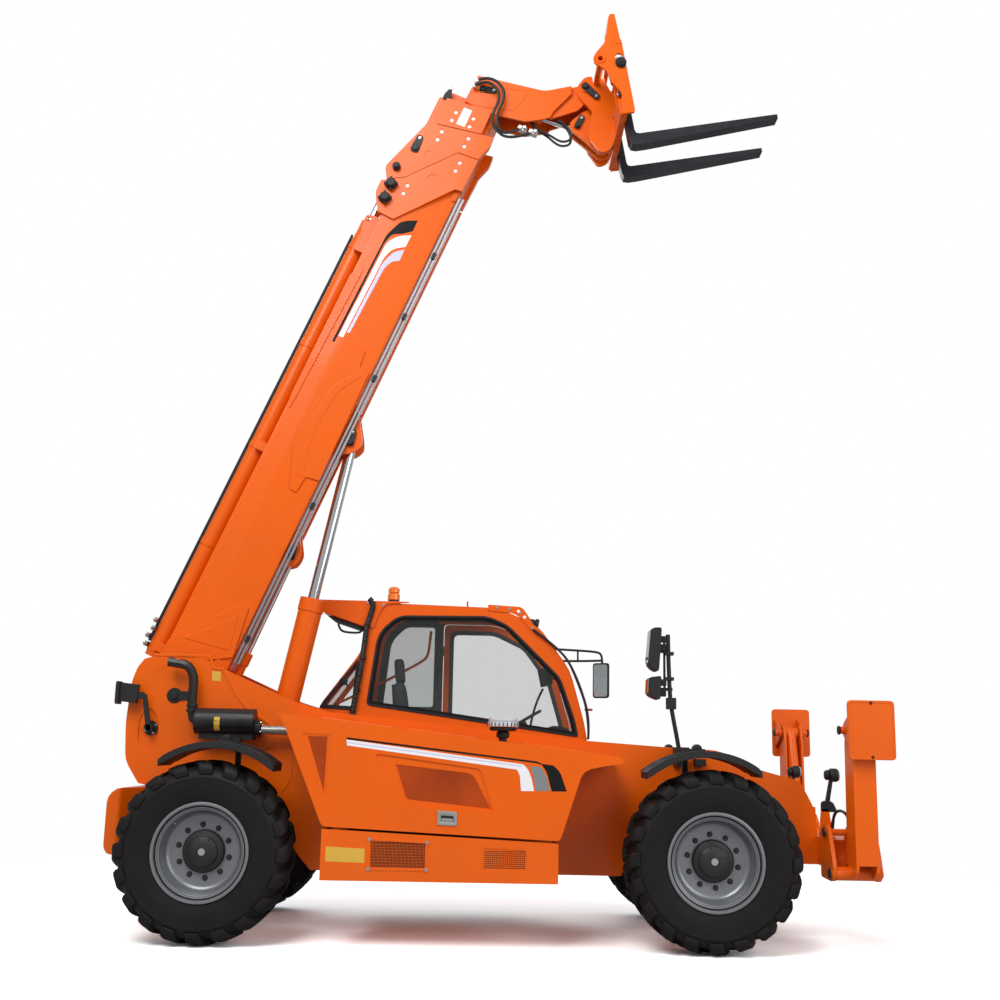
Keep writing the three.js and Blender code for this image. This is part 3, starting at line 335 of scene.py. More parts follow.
def bake(thing):
    graph = bpy.context.evaluated_depsgraph_get()
    mesh = bpy.data.meshes.new_from_object(thing.evaluated_get(graph))
    thing.modifiers.clear()
    old = thing.data
    thing.data = mesh
    if old.users == 0 and isinstance(old, bpy.types.Mesh):
        bpy.data.meshes.remove(old)
    return thing


def smooth(mesh, angle=38):
    mesh.shade_smooth()
    mesh.set_sharp_from_angle(angle=math.radians(angle))


def soften(thing, width, segments=2, angle=30, sharp=38):
    if width:
        bevel = thing.modifiers.new("bevel", "BEVEL")
        bevel.width = width
        bevel.segments = segments
        bevel.limit_method = "ANGLE"
        bevel.angle_limit = math.radians(angle)
        bevel.use_clamp_overlap = True
        bake(thing)
    smooth(thing.data, sharp)
    flatten = thing.modifiers.new("flat faces", "WEIGHTED_NORMAL")
    flatten.mode = "FACE_AREA"
    flatten.weight = 80
    flatten.keep_sharp = True
    return bake(thing)


def roundCorners(corners, steps=6):
    points = []
    for i, corner in enumerate(corners):
        here = Vector(corner[:2])
        radius = corner[2] if len(corner) > 2 else 0
        before, after = Vector(corners[i - 1][:2]), Vector(corners[(i + 1) % len(corners)][:2])
        radius = min(radius, 0.45 * (here - before).length, 0.45 * (here - after).length)
        if radius <= 0:
            points.append(here)
            continue
        a = here + (before - here).normalized() * radius
        b = here + (after - here).normalized() * radius
        for k in range(steps + 1):
            f = k / steps
            points.append(a.lerp(here, f).lerp(here.lerp(b, f), f))
    return points


axisPlanes = {
    "x": lambda u, v, w: Vector((w, u, v)),
    "y": lambda u, v, w: Vector((u, w, v)),
    "z": lambda u, v, w: Vector((u, v, w)),
}


def prismMesh(bm, corners, axis, low, high, steps=6):
    place = axisPlanes[axis]
    points = roundCorners(corners, steps)
    bottom = [bm.verts.new(place(p.x, p.y, low)) for p in points]
    top = [bm.verts.new(place(p.x, p.y, high)) for p in points]
    bm.faces.new(bottom)
    bm.faces.new(top)
    for i in range(len(points)):
        j = (i + 1) % len(points)
        bm.faces.new((bottom[i], bottom[j], top[j], top[i]))


def latheMesh(bm, profile, segments=64, centre=(0, 0, 0)):
    # the profile is a closed loop of (radius, y), turned about the y axis
    rings = []
    for k in range(segments):
        a = 2 * math.pi * k / segments
        rings.append([bm.verts.new((centre[0] + r * math.sin(a), centre[1] + y, centre[2] + r * math.cos(a)))
                      for r, y in profile])
    n = len(profile)
    for k in range(segments):
        here, there = rings[k], rings[(k + 1) % segments]
        for i in range(n):
            j = (i + 1) % n
            bm.faces.new((here[i], there[i], there[j], here[j]))


def discMesh(bm, axis, u, v, radius, low, high, segments=32, inner=0.0, chamfer=0.0):
    # a disc, or a ring where inner is given, with its rims cut back by the chamfer
    place = axisPlanes[axis]
    loops = [(radius - chamfer, low), (radius, low + chamfer), (radius, high - chamfer), (radius - chamfer, high)]
    if not chamfer:
        loops = [(radius, low), (radius, high)]
    if inner:
        loops += [(inner, high), (inner, low)]
    rings = [[bm.verts.new(place(u + r * math.cos(2 * math.pi * k / segments),
                                 v + r * math.sin(2 * math.pi * k / segments), w))
              for k in range(segments)] for r, w in loops]
    pairs = list(zip(rings, rings[1:] + ([rings[0]] if inner else [])))
    for a, b in pairs:
        for k in range(segments):
            j = (k + 1) % segments
            bm.faces.new((a[k], a[j], b[j], b[k]))
    if not inner:
        bm.faces.new(rings[0])
        bm.faces.new(rings[-1])


def boxMesh(bm, x0, x1, y0, y1, z0, z1, turn=None):
    made = bmesh.ops.create_cube(bm, size=1)["verts"]
    scale = Matrix.Diagonal((x1 - x0, y1 - y0, z1 - z0, 1))
    move = Matrix.Translation(((x0 + x1) / 2, (y0 + y1) / 2, (z0 + z1) / 2))
    bmesh.ops.transform(bm, matrix=move @ (turn or Matrix()) @ scale, verts=made)
    return made


def turned(bm, build, matrix):
    part = bmesh.new()
    build(part)
    part.transform(matrix)
    mesh = meshFrom(part, "turned")
    bm.from_mesh(mesh)
    bpy.data.meshes.remove(mesh)


def settle(thing, body):
    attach(thing, body)
    return thing


def makePiece(name, body, material, build, bevel=0.0, segments=2, sharp=38, replaces=(), placed=True,
              cuts=()):
    bm = bmesh.new()
    build(bm)
    bmesh.ops.remove_doubles(bm, verts=bm.verts, dist=1e-6)
    bmesh.ops.recalc_face_normals(bm, faces=bm.faces)
    mesh = meshFrom(bm, name)
    if placed:
        mesh.transform(Matrix.Translation(origin))
    thing = addObject(name, mesh, material)
    for cut in cuts:
        carve(thing, cut)
    soften(thing, bevel, segments, sharp=sharp)
    if body:
        settle(thing, body)
    if replaces:
        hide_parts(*replaces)
    return thing


def tube(name, body, points, radius, material, smoothPath=True, sides=8):
    curve = bpy.data.curves.new(name, "CURVE")
    curve.dimensions = "3D"
    curve.bevel_depth = radius
    curve.bevel_resolution = max(1, sides // 4)
    curve.use_fill_caps = True
    spline = curve.splines.new("NURBS" if smoothPath else "POLY")
    spline.points.add(len(points) - 1)
    for node, p in zip(spline.points, points):
        node.co = (*(Vector(p) + origin), 1)
    if smoothPath:
        spline.order_u = min(4, len(points))
        spline.use_endpoint_u = True
        spline.resolution_u = 6
    holder = bpy.data.objects.new(name + "Path", curve)
    bpy.context.scene.collection.objects.link(holder)
    graph = bpy.context.evaluated_depsgraph_get()
    mesh = bpy.data.meshes.new_from_object(holder.evaluated_get(graph))
    bpy.data.objects.remove(holder)
    mesh.name = name
    thing = addObject(name, mesh, material)
    smooth(mesh)
    return settle(thing, body) if body else thing


def joinPieces(name, things, body, material, replaces=()):
    # one piece from several finished meshes that share a material
    bm = bmesh.new()
    for thing in things:
        bm.from_mesh(thing.data)
    mesh = meshFrom(bm, name)
    for thing in things:
        bpy.data.objects.remove(thing)
    made = addObject(name, mesh, material)
    smooth(mesh)
    settle(made, body)
    if replaces:
        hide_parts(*replaces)
    return made


def geometryTree(name, inputs):
    tree = bpy.data.node_groups.new(name, "GeometryNodeTree")
    tree.interface.new_socket("Geometry", in_out="INPUT", socket_type="NodeSocketGeometry")
    for label, kind, value in inputs:
        socket = tree.interface.new_socket(label, in_out="INPUT", socket_type=kind)
        if value is not None:
            socket.default_value = value
    tree.interface.new_socket("Geometry", in_out="OUTPUT", socket_type="NodeSocketGeometry")
    return tree, tree.nodes.new("NodeGroupInput"), tree.nodes.new("NodeGroupOutput")


def closeTree(tree, inside, outside, geometry):
    real = tree.nodes.new("GeometryNodeRealizeInstances")
    paint = tree.nodes.new("GeometryNodeSetMaterial")
    tree.links.new(geometry, real.inputs[0])
    tree.links.new(real.outputs[0], paint.inputs["Geometry"])
    tree.links.new(inside.outputs["Material"], paint.inputs["Material"])
    tree.links.new(paint.outputs[0], outside.inputs[0])


def ringTree():
    # copies of the piece round the y axis
    tree, inside, outside = geometryTree("ring of copies", [
        ("Count", "NodeSocketInt", 10), ("Start", "NodeSocketFloat", 0.0),
        ("Material", "NodeSocketMaterial", None)])
    line = tree.nodes.new("GeometryNodeMeshLine")
    line.inputs["Offset"].default_value = (0, 0, 0)
    place = tree.nodes.new("GeometryNodeInstanceOnPoints")
    index = tree.nodes.new("GeometryNodeInputIndex")
    step = math2(tree, "DIVIDE", 2 * math.pi, inside.outputs["Count"])
    turn = math2(tree, "ADD", math2(tree, "MULTIPLY", index.outputs[0], step), inside.outputs["Start"])
    spin = tree.nodes.new("ShaderNodeCombineXYZ")
    tree.links.new(turn, spin.inputs["Y"])
    tree.links.new(inside.outputs["Count"], line.inputs["Count"])
    tree.links.new(line.outputs[0], place.inputs["Points"])
    tree.links.new(inside.outputs["Geometry"], place.inputs["Instance"])
    tree.links.new(spin.outputs[0], place.inputs["Rotation"])
    closeTree(tree, inside, outside, place.outputs[0])
    return tree


def gridTree():
    # copies of the piece in rows and columns
    tree, inside, outside = geometryTree("grid of copies", [
        ("Columns", "NodeSocketInt", 4), ("Rows", "NodeSocketInt", 1),
        ("Column step", "NodeSocketVector", (0, 0, 0)), ("Row step", "NodeSocketVector", (0, 0, 0)),
        ("Material", "NodeSocketMaterial", None)])
    geometry = inside.outputs["Geometry"]
    for count, step in (("Columns", "Column step"), ("Rows", "Row step")):
        line = tree.nodes.new("GeometryNodeMeshLine")
        place = tree.nodes.new("GeometryNodeInstanceOnPoints")
        tree.links.new(inside.outputs[count], line.inputs["Count"])
        tree.links.new(inside.outputs[step], line.inputs["Offset"])
        tree.links.new(line.outputs[0], place.inputs["Points"])
        tree.links.new(geometry, place.inputs["Instance"])
        geometry = place.outputs[0]
    closeTree(tree, inside, outside, geometry)
    return tree


def scatterTree():
    # copies of one object at the piece's points
    tree, inside, outside = geometryTree("copies at points", [
        ("Copied", "NodeSocketObject", None), ("Material", "NodeSocketMaterial", None)])
    info = tree.nodes.new("GeometryNodeObjectInfo")
    place = tree.nodes.new("GeometryNodeInstanceOnPoints")
    tree.links.new(inside.outputs["Copied"], info.inputs["Object"])
    tree.links.new(inside.outputs["Geometry"], place.inputs["Points"])
    tree.links.new(info.outputs["Geometry"], place.inputs["Instance"])
    closeTree(tree, inside, outside, place.outputs[0])
    return tree


ringCopies, gridCopies, pointCopies = ringTree(), gridTree(), scatterTree()


def spread(thing, tree, material, **values):
    modifier = thing.modifiers.new("copies", "NODES")
    modifier.node_group = tree
    values["Material"] = material
    for item in tree.interface.items_tree:
        label = item.name.replace(" ", "_")
        if item.in_out == "INPUT" and label in values:
            modifier[item.identifier] = values[label]
    bake(thing)
    smooth(thing.data)
    return thing


def boltHead(bm, axis, size):
    # a washer and a hexagon head on it, on the side that the axis names
    side = -1 if axis[0] == "-" else 1
    plane = axis[-1]
    low, high = sorted((0, side * size * 0.22))
    discMesh(bm, plane, 0, 0, size * 1.25, low, high, 16, chamfer=size * 0.05)
    low, high = span(side, size * 0.2, size * 0.85)
    discMesh(bm, plane, 0, 0, size, low, high, 6, chamfer=size * 0.12)


def bolts(name, body, points, axis, size, material):
    template = makePiece(name + "Head", None, material, lambda bm: boltHead(bm, axis, size), placed=False)
    mesh = bpy.data.meshes.new(name)
    mesh.from_pydata([tuple(Vector(p) + origin) for p in points], [], [])
    thing = addObject(name, mesh)
    spread(thing, pointCopies, material, Copied=template)
    bpy.data.objects.remove(template)
    return settle(thing, body)


def carve(thing, build):
    cutter = makePiece(thing.name + "Cutter", None, orangePaint, build)
    cutter.data.materials.clear()
    modifier = thing.modifiers.new("carve", "BOOLEAN")
    modifier.operation = "DIFFERENCE"
    modifier.solver = "EXACT"
    modifier.object = cutter
    bake(thing)
    bpy.data.objects.remove(cutter)


def flattened(mesh, weld=0.0):
    # joins faces that lie in one plane, and welds points closer than the given distance
    bm = bmesh.new()
    bm.from_mesh(mesh)
    if weld:
        bmesh.ops.remove_doubles(bm, verts=bm.verts, dist=weld)
    bmesh.ops.dissolve_limit(bm, angle_limit=math.radians(0.6), verts=bm.verts, edges=bm.edges)
    bm.to_mesh(mesh)
    bm.free()


def softNode(node, material, width, cuts=()):
    # a finished copy of a CAD node, with recesses cut into it and its edges rounded
    source = frame["nodes"][node]
    mesh = source.data.copy()
    flattened(mesh, 2e-5)
    thing = addObject(node + "_finished", mesh, material)
    for build in cuts:
        carve(thing, build)
    if cuts:
        flattened(thing.data)
        thing.data.materials.clear()
        thing.data.materials.append(material)
    soften(thing, width)
    settle(thing, source["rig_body"])
    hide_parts(node)
    return thing


# camera, floor and light
view = {"place": (2.0561, -10.5, 1.4452), "yaw": 0.0083, "pitch": 0.1956, "roll": 0.0204, "focal": 1232}


def setCamera():
    data = bpy.data.cameras.new("camera")
    data.sensor_width = 36
    data.lens = 36 * view["focal"] / 1000
    data.clip_end = 200
    camera = bpy.data.objects.new("camera", data)
    bpy.context.scene.collection.objects.link(camera)
    ahead = Vector((math.sin(view["yaw"]), math.cos(view["yaw"]), 0))
    right = Vector((math.cos(view["yaw"]), -math.sin(view["yaw"]), 0))
    c, n = math.cos(view["pitch"]), math.sin(view["pitch"])
    look = ahead * c + Vector((0, 0, 1)) * n
    up = Vector((0, 0, 1)) * c - ahead * n
    c, n = math.cos(view["roll"]), math.sin(view["roll"])
    side = right * c + up * n
    above = up * c - right * n
    turn = Matrix((side, above, -look)).transposed().to_4x4()
    camera.matrix_world = Matrix.Translation(Vector(view["place"]) + origin) @ turn
    bpy.context.scene.camera = camera


def addLamp(name, place, target, size, power, colour=(1, 1, 1)):
    data = bpy.data.lights.new(name, "AREA")
    data.shape = "SQUARE"
    data.size = size
    data.energy = power
    data.color = colour
    lamp = bpy.data.objects.new(name, data)
    bpy.context.scene.collection.objects.link(lamp)
    lamp.location = place
    lamp.rotation_euler = (Vector(target) - Vector(place)).to_track_quat("-Z", "Y").to_euler()


studio = {"key": 1150, "fill": 520, "back": 420, "sky": 0.46, "floorReach": 7.5}


def setStage():
    world = bpy.data.worlds.new("studio")
    bpy.context.scene.world = world
    world.use_nodes = True
    tree = world.node_tree
    tree.nodes.clear()
    out = tree.nodes.new("ShaderNodeOutputWorld")
    plain, white = tree.nodes.new("ShaderNodeBackground"), tree.nodes.new("ShaderNodeBackground")
    plain.inputs["Color"].default_value = (0.97, 0.98, 1, 1)
    plain.inputs["Strength"].default_value = studio["sky"]
    white.inputs["Color"].default_value = (1, 1, 1, 1)
    rays = tree.nodes.new("ShaderNodeLightPath")
    seen = math2(tree, "MAXIMUM", rays.outputs["Is Camera Ray"], rays.outputs["Is Transmission Ray"])
    mix = tree.nodes.new("ShaderNodeMixShader")
    tree.links.new(seen, mix.inputs[0])
    tree.links.new(plain.outputs[0], mix.inputs[1])
    tree.links.new(white.outputs[0], mix.inputs[2])
    tree.links.new(mix.outputs[0], out.inputs[0])
    floorMaterial = bpy.data.materials.new("studioFloor")
    floorMaterial.use_nodes = True
    tree = floorMaterial.node_tree
    tree.nodes.clear()
    out = tree.nodes.new("ShaderNodeOutputMaterial")
    lit = tree.nodes.new("ShaderNodeBsdfDiffuse")
    glow = tree.nodes.new("ShaderNodeEmission")
    glow.inputs["Strength"].default_value = 1
    coords = tree.nodes.new("ShaderNodeTexCoord")
    length = tree.nodes.new("ShaderNodeVectorMath")
    length.operation = "LENGTH"
    tree.links.new(coords.outputs["Object"], length.inputs[0])
    far = ramp(tree, length.outputs["Value"], studio["floorReach"] * 0.35, studio["floorReach"])
    rays = tree.nodes.new("ShaderNodeLightPath")
    tree.links.new(mixColour(tree, rays.outputs["Is Camera Ray"], (0.5, 0.5, 0.5), (1.9, 1.9, 1.9)),
                   lit.inputs["Color"])
    mask = math2(tree, "MULTIPLY", far, rays.outputs["Is Camera Ray"])
    mix = tree.nodes.new("ShaderNodeMixShader")
    tree.links.new(mask, mix.inputs[0])
    tree.links.new(lit.outputs[0], mix.inputs[1])
    tree.links.new(glow.outputs[0], mix.inputs[2])
    tree.links.new(mix.outputs[0], out.inputs[0])
    floor = makePiece("studioFloor", None, floorMaterial,
                      lambda bm: bmesh.ops.create_circle(bm, cap_ends=True, radius=60, segments=64), placed=False)
    addLamp("key", (-4, -9, 11), (0, 0, 2), 7, studio["key"])
    addLamp("fill", (9, -9, 6), (0.5, 0, 2.5), 8, studio["fill"])
    addLamp("back", (-2, 10, 9), (0, 0, 3), 8, studio["back"])


setCamera()
setStage()
bpy.context.scene.view_settings.view_transform = "Standard"
print("stage set")

# plain nodes that keep their shape
nodeFinish = {
    "main_frame": (orangePaint, 0.004), "counterweight": (orangePaint, 0.012), "front_beam": (orangePaint, 0.004),
    "engine_block": (castBlack, 0.006), "front_axle": (castBlack, 0.006), "rear_axle": (castBlack, 0.006),
    "boom_outer": (orangePaint, 0.003), "boom_second": (orangePaint, 0.003), "boom_third": (orangePaint, 0.003),
    "boom_head": (orangePaint, 0.003), "extension_barrel": (orangePaint, 0.003), "extension_rod": (chromeRod, 0),
    "lift_barrel": (orangePaint, 0.004), "lift_rod": (chromeRod, 0.002), "levelling_barrel": (orangePaint, 0.003),
    "levelling_rod": (chromeRod, 0.002), "tilt_barrel": (orangePaint, 0.003), "tilt_rod": (chromeRod, 0.002),
    "coupler": (orangePaint, 0.004), "fork_carriage": (orangePaint, 0.003), "fork_right": (forkSteel, 0.004),
    "fork_left": (forkSteel, 0.004), "cab_shell": (orangePaint, 0.006), "cab_door": (orangePaint, 0.004),
    "engine_hood": (orangePaint, 0.008), "lower_panel": (orangePaint, 0.004), "exhaust": (blackPaint, 0.003),
    "right_mirrors": (blackPlastic, 0.006), "fuel_tank": (blackPaint, 0.008),
    "stabiliser_leg_right": (orangePaint, 0.004), "stabiliser_leg_left": (orangePaint, 0.004),
    "stabiliser_foot_right": (orangePaint, 0.004), "stabiliser_foot_left": (orangePaint, 0.004),
    "cab_right_window": (cabGlass, 0), "cab_quarter_window": (tintedGlass, 0), "cab_windscreen": (cabGlass, 0),
    "cab_rear_window": (tintedGlass, 0), "cab_door_glass": (cabGlass, 0), "cab_right_rear_window": (cabGlass, 0),
    "cab_left_rear_window": (cabGlass, 0), "console": (blackPlastic, 0.006),
}
for corner in ("front_right", "front_left", "rear_right", "rear_left"):
    nodeFinish["knuckle_" + corner] = (blackPlastic, 0.004)
for side in ("right", "left"):
    nodeFinish[f"stabiliser_{side}_ram_barrel"] = (orangePaint, 0.003)
    nodeFinish[f"stabiliser_{side}_ram_rod"] = (chromeRod, 0.002)


def sidePrism(bm, corners, near, far, sides=(-1, 1), steps=6):
    for side in sides:
        low, high = span(side, near, far)
        prismMesh(bm, corners, "y", low, high, steps)


def boomCorners(corners):
    return [(*boomPoint(s, t), *r) for s, t, *r in corners]


def leanCorners(corners):
    return [(*leanPoint(x, z), *r) for x, z, *r in corners]


def cutSide(corners, near, far, sides=(-1,)):
    return lambda bm: sidePrism(bm, corners, near, far, sides)


def cutHoles(points, radius, near, far, sides=(-1, 1)):
    def build(bm):
        for x, z in points:
            for side in sides:
                low, high = span(side, near, far)
                discMesh(bm, "y", x, z, radius, low, high, 20)
    return build


hoodFace = 1.18
collarFace = 0.217
decalThick = 0.0012
recess = {"edge": 0.005, "shallow": 0.010, "corner": 0.011, "deep": 0.019}
hoodOutline = {
    "middle": [(1.397, 1.285, 0.01), (1.975, 1.228, 0.05), (2.121, 0.969, 0.01), (1.487, 1.028, 0.03)],
    "corner": [(0.737, 1.478), (0.893, 1.476), (0.88, 1.074)],
}
padHoles = {
    "boom_outer": ((4.866, .191), (4.782, .192), (5.257, -.147), (5.171, -.143)),
    "boom_second": ((5.468, .127), (5.382, .131), (5.505, -.12), (5.42, -.116)),
    "boom_third": ((5.692, .089), (5.607, .091), (5.702, -.081), (5.616, -.08)),
}
padCuts = {section: cutHoles([boomPoint(s, t) for s, t in spots], 0.019, 0.200, 0.3)
           for section, spots in padHoles.items()}
nodeCuts = {
    "engine_hood": [
        cutSide([(1.236, 1.362, 0.06), (2.03, 1.262, 0.03), (2.135, 0.955, 0.02), (1.452, 0.992, 0.06)],
                hoodFace - recess["shallow"], 1.3),
        cutSide(hoodOutline["middle"], hoodFace - recess["deep"], 1.3),
        cutSide([(0.700, 1.497, 0.02), (0.912, 1.488, 0.02), (0.898, 1.04, 0.02), (0.866, 1.04, 0.02)],
                hoodFace - recess["edge"], 1.3),
        cutSide(hoodOutline["corner"], hoodFace - recess["corner"], 1.3),
    ],
    "lower_panel": [
        cutSide([(1.232, 0.743, 0.01), (1.646, 0.727, 0.01), (1.646, 0.540, 0.01), (1.232, 0.540, 0.01)],
                1.10, 1.3),
        cutSide([(2.058, 0.700, 0.02), (2.380, 0.687, 0.02), (2.380, 0.545, 0.02), (2.058, 0.545, 0.02)],
                1.10, 1.3),
    ],
    "main_frame": [
        cutSide([(-0.735, 1.60, 0.08), (-0.655, 1.69, 0.08), (-0.576, 1.60, 0.08), (-0.576, 1.40, 0.08),
                 (-0.655, 1.33, 0.08), (-0.735, 1.40, 0.08)], 0.364, 0.5, (-1, 1)),
        cutHoles([(0.329, 1.298)], 0.085, 0.365, 0.5),
    ],
    "boom_outer": [
        padCuts["boom_outer"],
        cutHoles([boomPoint(5.004, 0.006)], 0.056, collarFace - recess["edge"], 0.3),
    ],
    "boom_second": [
        padCuts["boom_second"],
        cutHoles([boomPoint(5.21, 0.135)], 0.046, collarFace - recess["edge"], 0.3),
    ],
    "boom_third": [padCuts["boom_third"]],
    "fork_carriage": [
        cutHoles([leanPoint(-0.001, 0.071)], 0.033, 0.4, 0.7),
        *(cutHoles([leanPoint(-0.166, 0.074)], 0.0225, 0.50, 0.575, (side,)) for side in (-1, 1)),
    ],
    "exhaust": [lambda bm: discMesh(bm, "x", -0.49, 2.042, 0.032, -0.56, -0.40, 20)],
}
for node, (material, width) in nodeFinish.items():
    softNode(node, material, width, nodeCuts.get(node, ()))
print("main pieces finished")

# wheels
tyre = {"crown": 0.624, "top": 0.661, "lugs": 20, "lugAngle": 0.17, "lugHalf": (0.026, 0.054)}


def tyreCarcass(bm):
    half = [(0.325, 0.196), (0.345, 0.206), (0.362, 0.200), (0.372, 0.203), (0.40, 0.211), (0.45, 0.2195),
            (0.50, 0.2215), (0.525, 0.2205), (0.532, 0.2225), (0.540, 0.2225), (0.546, 0.218), (0.565, 0.211),
            (0.588, 0.196), (0.606, 0.165), (tyre["crown"] - 0.005, 0.09), (tyre["crown"], 0.0)]
    latheMesh(bm, half + [(r, -y) for r, y in reversed(half[:-1])] + [(0.31, -0.15), (0.31, 0.15)], 96)


def lugMesh(bm):
    # a lug from the middle of the tread to the shoulder and down its side, wider and raked outwards
    stations = [(0.003, tyre["top"], 0.0), (0.06, 0.660, 0.28), (0.11, 0.657, 0.52), (0.155, 0.650, 0.75),
                (0.190, 0.638, 0.90), (0.2125, 0.618, 1.0), (0.2225, 0.590, 1.04), (0.2235, 0.561, 1.05)]
    sink = [(0, -0.048)] * 4 + [(-0.010, -0.046), (-0.022, -0.036), (-0.024, -0.012), (-0.012, 0.0)]
    middle, shoulder = tyre["lugHalf"]
    rings = []
    for (y, r, rake), (inY, inR) in zip(stations, sink):
        half = middle + (shoulder - middle) * min(rake, 1)
        ring = []
        for sign, top in ((-1, 1), (1, 1), (1, 0), (-1, 0)):
            angle = tyre["lugAngle"] * rake + sign * half * (1.0 if top else 1.22) / 0.65
            yy, rr = (y, r) if top else (y + inY, r + inR)
            ring.append(bm.verts.new((rr * math.sin(angle), yy, rr * math.cos(angle))))
        rings.append(ring)
    for a, b in zip(rings, rings[1:]):
        for k in range(4):
            j = (k + 1) % 4
            bm.faces.new((a[k], a[j], b[j], b[k]))
    bm.faces.new(rings[0])
    bm.faces.new(rings[-1])


def makeTyre(corner, x, side):
    body = "wheel_" + corner
    parts = []
    for half in (1, -1):
        lug = makePiece("lug", None, tyreRubber, lugMesh, bevel=0.007, segments=2, placed=False)
        start = 0.0
        if half < 0:
            lug.data.transform(Matrix.Diagonal((1, -1, 1, 1)))
            lug.data.flip_normals()
            start = math.pi / tyre["lugs"]
        spread(lug, ringCopies, tyreRubber, Count=tyre["lugs"], Start=start)
        parts.append(lug)
    parts.append(makePiece("carcass", None, tyreRubber, tyreCarcass, placed=False))
    # the tread points the same way on both sides of the machine
    for part in parts:
        part.data.transform(Matrix.Translation(origin + Vector((x, side * trackHalf, axleHeight))))
    joinPieces("tyreTread_" + corner, parts, body, tyreRubber, replaces=["tyre_" + corner])


rim = {"bolts": 10, "boltCircle": 0.192, "boltSize": 0.017, "caps": 8, "capCircle": 0.094, "capSize": 0.008}


def rimProfile():
    outer = [(0.350, 0.198), (0.358, 0.206), (0.358, 0.213), (0.349, 0.2165), (0.338, 0.2135), (0.333, 0.200),
             (0.327, 0.196), (0.322, 0.188), (0.315, 0.186), (0.309, 0.176), (0.303, 0.174), (0.298, 0.162),
             (0.292, 0.120), (0.288, 0.085), (0.272, 0.060), (0.245, 0.050), (0.150, 0.048), (0.10, 0.048)]
    back = [(0.10, 0.030), (0.255, 0.030), (0.278, 0.036), (0.281, -0.150), (0.296, -0.185), (0.330, -0.200),
            (0.338, -0.2135), (0.349, -0.2165), (0.358, -0.213), (0.358, -0.206), (0.350, -0.198), (0.324, -0.190),
            (0.318, -0.10), (0.318, 0.10), (0.324, 0.190)]
    return outer + back


def hubProfile():
    return [(0.0005, 0.140), (0.035, 0.140), (0.041, 0.136), (0.075, 0.134), (0.082, 0.128), (0.100, 0.124),
            (0.110, 0.116), (0.113, 0.098), (0.120, 0.094), (0.142, 0.090), (0.152, 0.082), (0.156, 0.070),
            (0.156, 0.049), (0.135, 0.049), (0.135, -0.058), (0.062, -0.058), (0.062, 0.055), (0.0005, 0.055)]


def makeWheel(corner, x, side):
    place = Matrix.Translation(origin + Vector((x, side * trackHalf, axleHeight)))
    if side < 0:
        place = place @ Matrix.Rotation(math.pi, 4, "Z")

    def wheelPiece(name, material, build, copies=0, start=0.0):
        thing = makePiece(f"{name}_{corner}", None, material, build, placed=False)
        if copies:
            spread(thing, ringCopies, material, Count=copies, Start=start)
        thing.data.transform(place)
        return settle(thing, "wheel_" + corner)

    def nut(bm, size, face, circle):
        boltHead(bm, "y", size)
        bmesh.ops.translate(bm, verts=bm.verts, vec=(0, face, circle))

    ring = wheelPiece("rimRings", rimSilver, lambda bm: latheMesh(bm, rimProfile(), 96))
    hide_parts("rim_" + corner)
    wheelPiece("hub", castBlack, lambda bm: latheMesh(bm, hubProfile(), 64))
    wheelPiece("wheelNuts", castBlack, lambda bm: nut(bm, rim["boltSize"], 0.0485, rim["boltCircle"]),
               rim["bolts"], 0.1)
    wheelPiece("hubBolts", castBlack, lambda bm: nut(bm, rim["capSize"], 0.122, rim["capCircle"]),
               rim["caps"], 0.3)
    wheelPiece("hubDisc", zincPlate, lambda bm: discMesh(bm, "y", 0, 0, 0.026, 0.1395, 0.1425, 24, chamfer=0.001))
    wheelPiece("valve", zincPlate, lambda bm: discMesh(bm, "y", 0.20, 0.20, 0.005, 0.12, 0.17, 10, chamfer=0.001))


wheels = {"front_right": (wheelbase, -1), "front_left": (wheelbase, 1), "rear_right": (0, -1), "rear_left": (0, 1)}
for corner, (x, side) in wheels.items():
    makeTyre(corner, x, side)
    makeWheel(corner, x, side)
print("wheels made")

# boom
skinLean = 0.03 / 0.33


def followSkin(bm):
    # moves what lies below the boom's fold inwards with the leaning lower face
    c, n = math.cos(boomAngle), math.sin(boomAngle)
    for vertex in bm.verts:
        x, z = vertex.co.x - pivot.x, vertex.co.z - pivot.y
        t = -x * n + z * c
        if t < boomFold:
            vertex.co.y -= math.copysign((boomFold - t) * skinLean, vertex.co.y)


def boomPlate(name, corners, thick, material=orangePaint, near=0.185, bevel=0.003):
    def build(bm):
        sidePrism(bm, boomCorners(corners), near, boomFace + thick)
        bmesh.ops.bisect_plane(bm, geom=bm.verts[:] + bm.edges[:] + bm.faces[:],
                               plane_co=boomSpot(0, boomFold),
                               plane_no=(-math.sin(boomAngle), 0, math.cos(boomAngle)))
        followSkin(bm)
    return makePiece(name, "boom_outer", material, build, bevel=bevel)


boomPlate("boomStripPlate", [(3.999, .248), (3.903, .299, .02), (2.684, .296, .02), (2.575, .252), (2.689, .246),
                             (3.988, .211)], 0.010)
slotLine = [(3.1, -.165), (2.9, -.035), (2.6, .0), (2.3, -.015), (2.07, -.09)]
slotRing = [(s, t + .035, .05) for s, t in slotLine] + [(s, t - .035, .05) for s, t in reversed(slotLine)]
boomPlate("boomBossPlate", [(3.338, -.12, .03), (2.91, .082, .1), (2.325, .085, .1), (1.943, -.059, .03),
                            (1.939, -.118), (2.091, -.138), (2.111, -.252), (3.151, -.233), (3.167, -.137)], 0.014)
boomPlate("boomSlotRib", slotRing, 0.018, bevel=0.006)
boomPlate("boomBasePlate", [(.386, .296, .03), (.619, .1, .02), (.91, -.141, .02), (.887, -.192), (.462, -.25),
                            (.30, .02), (.25, .29)], 0.016)
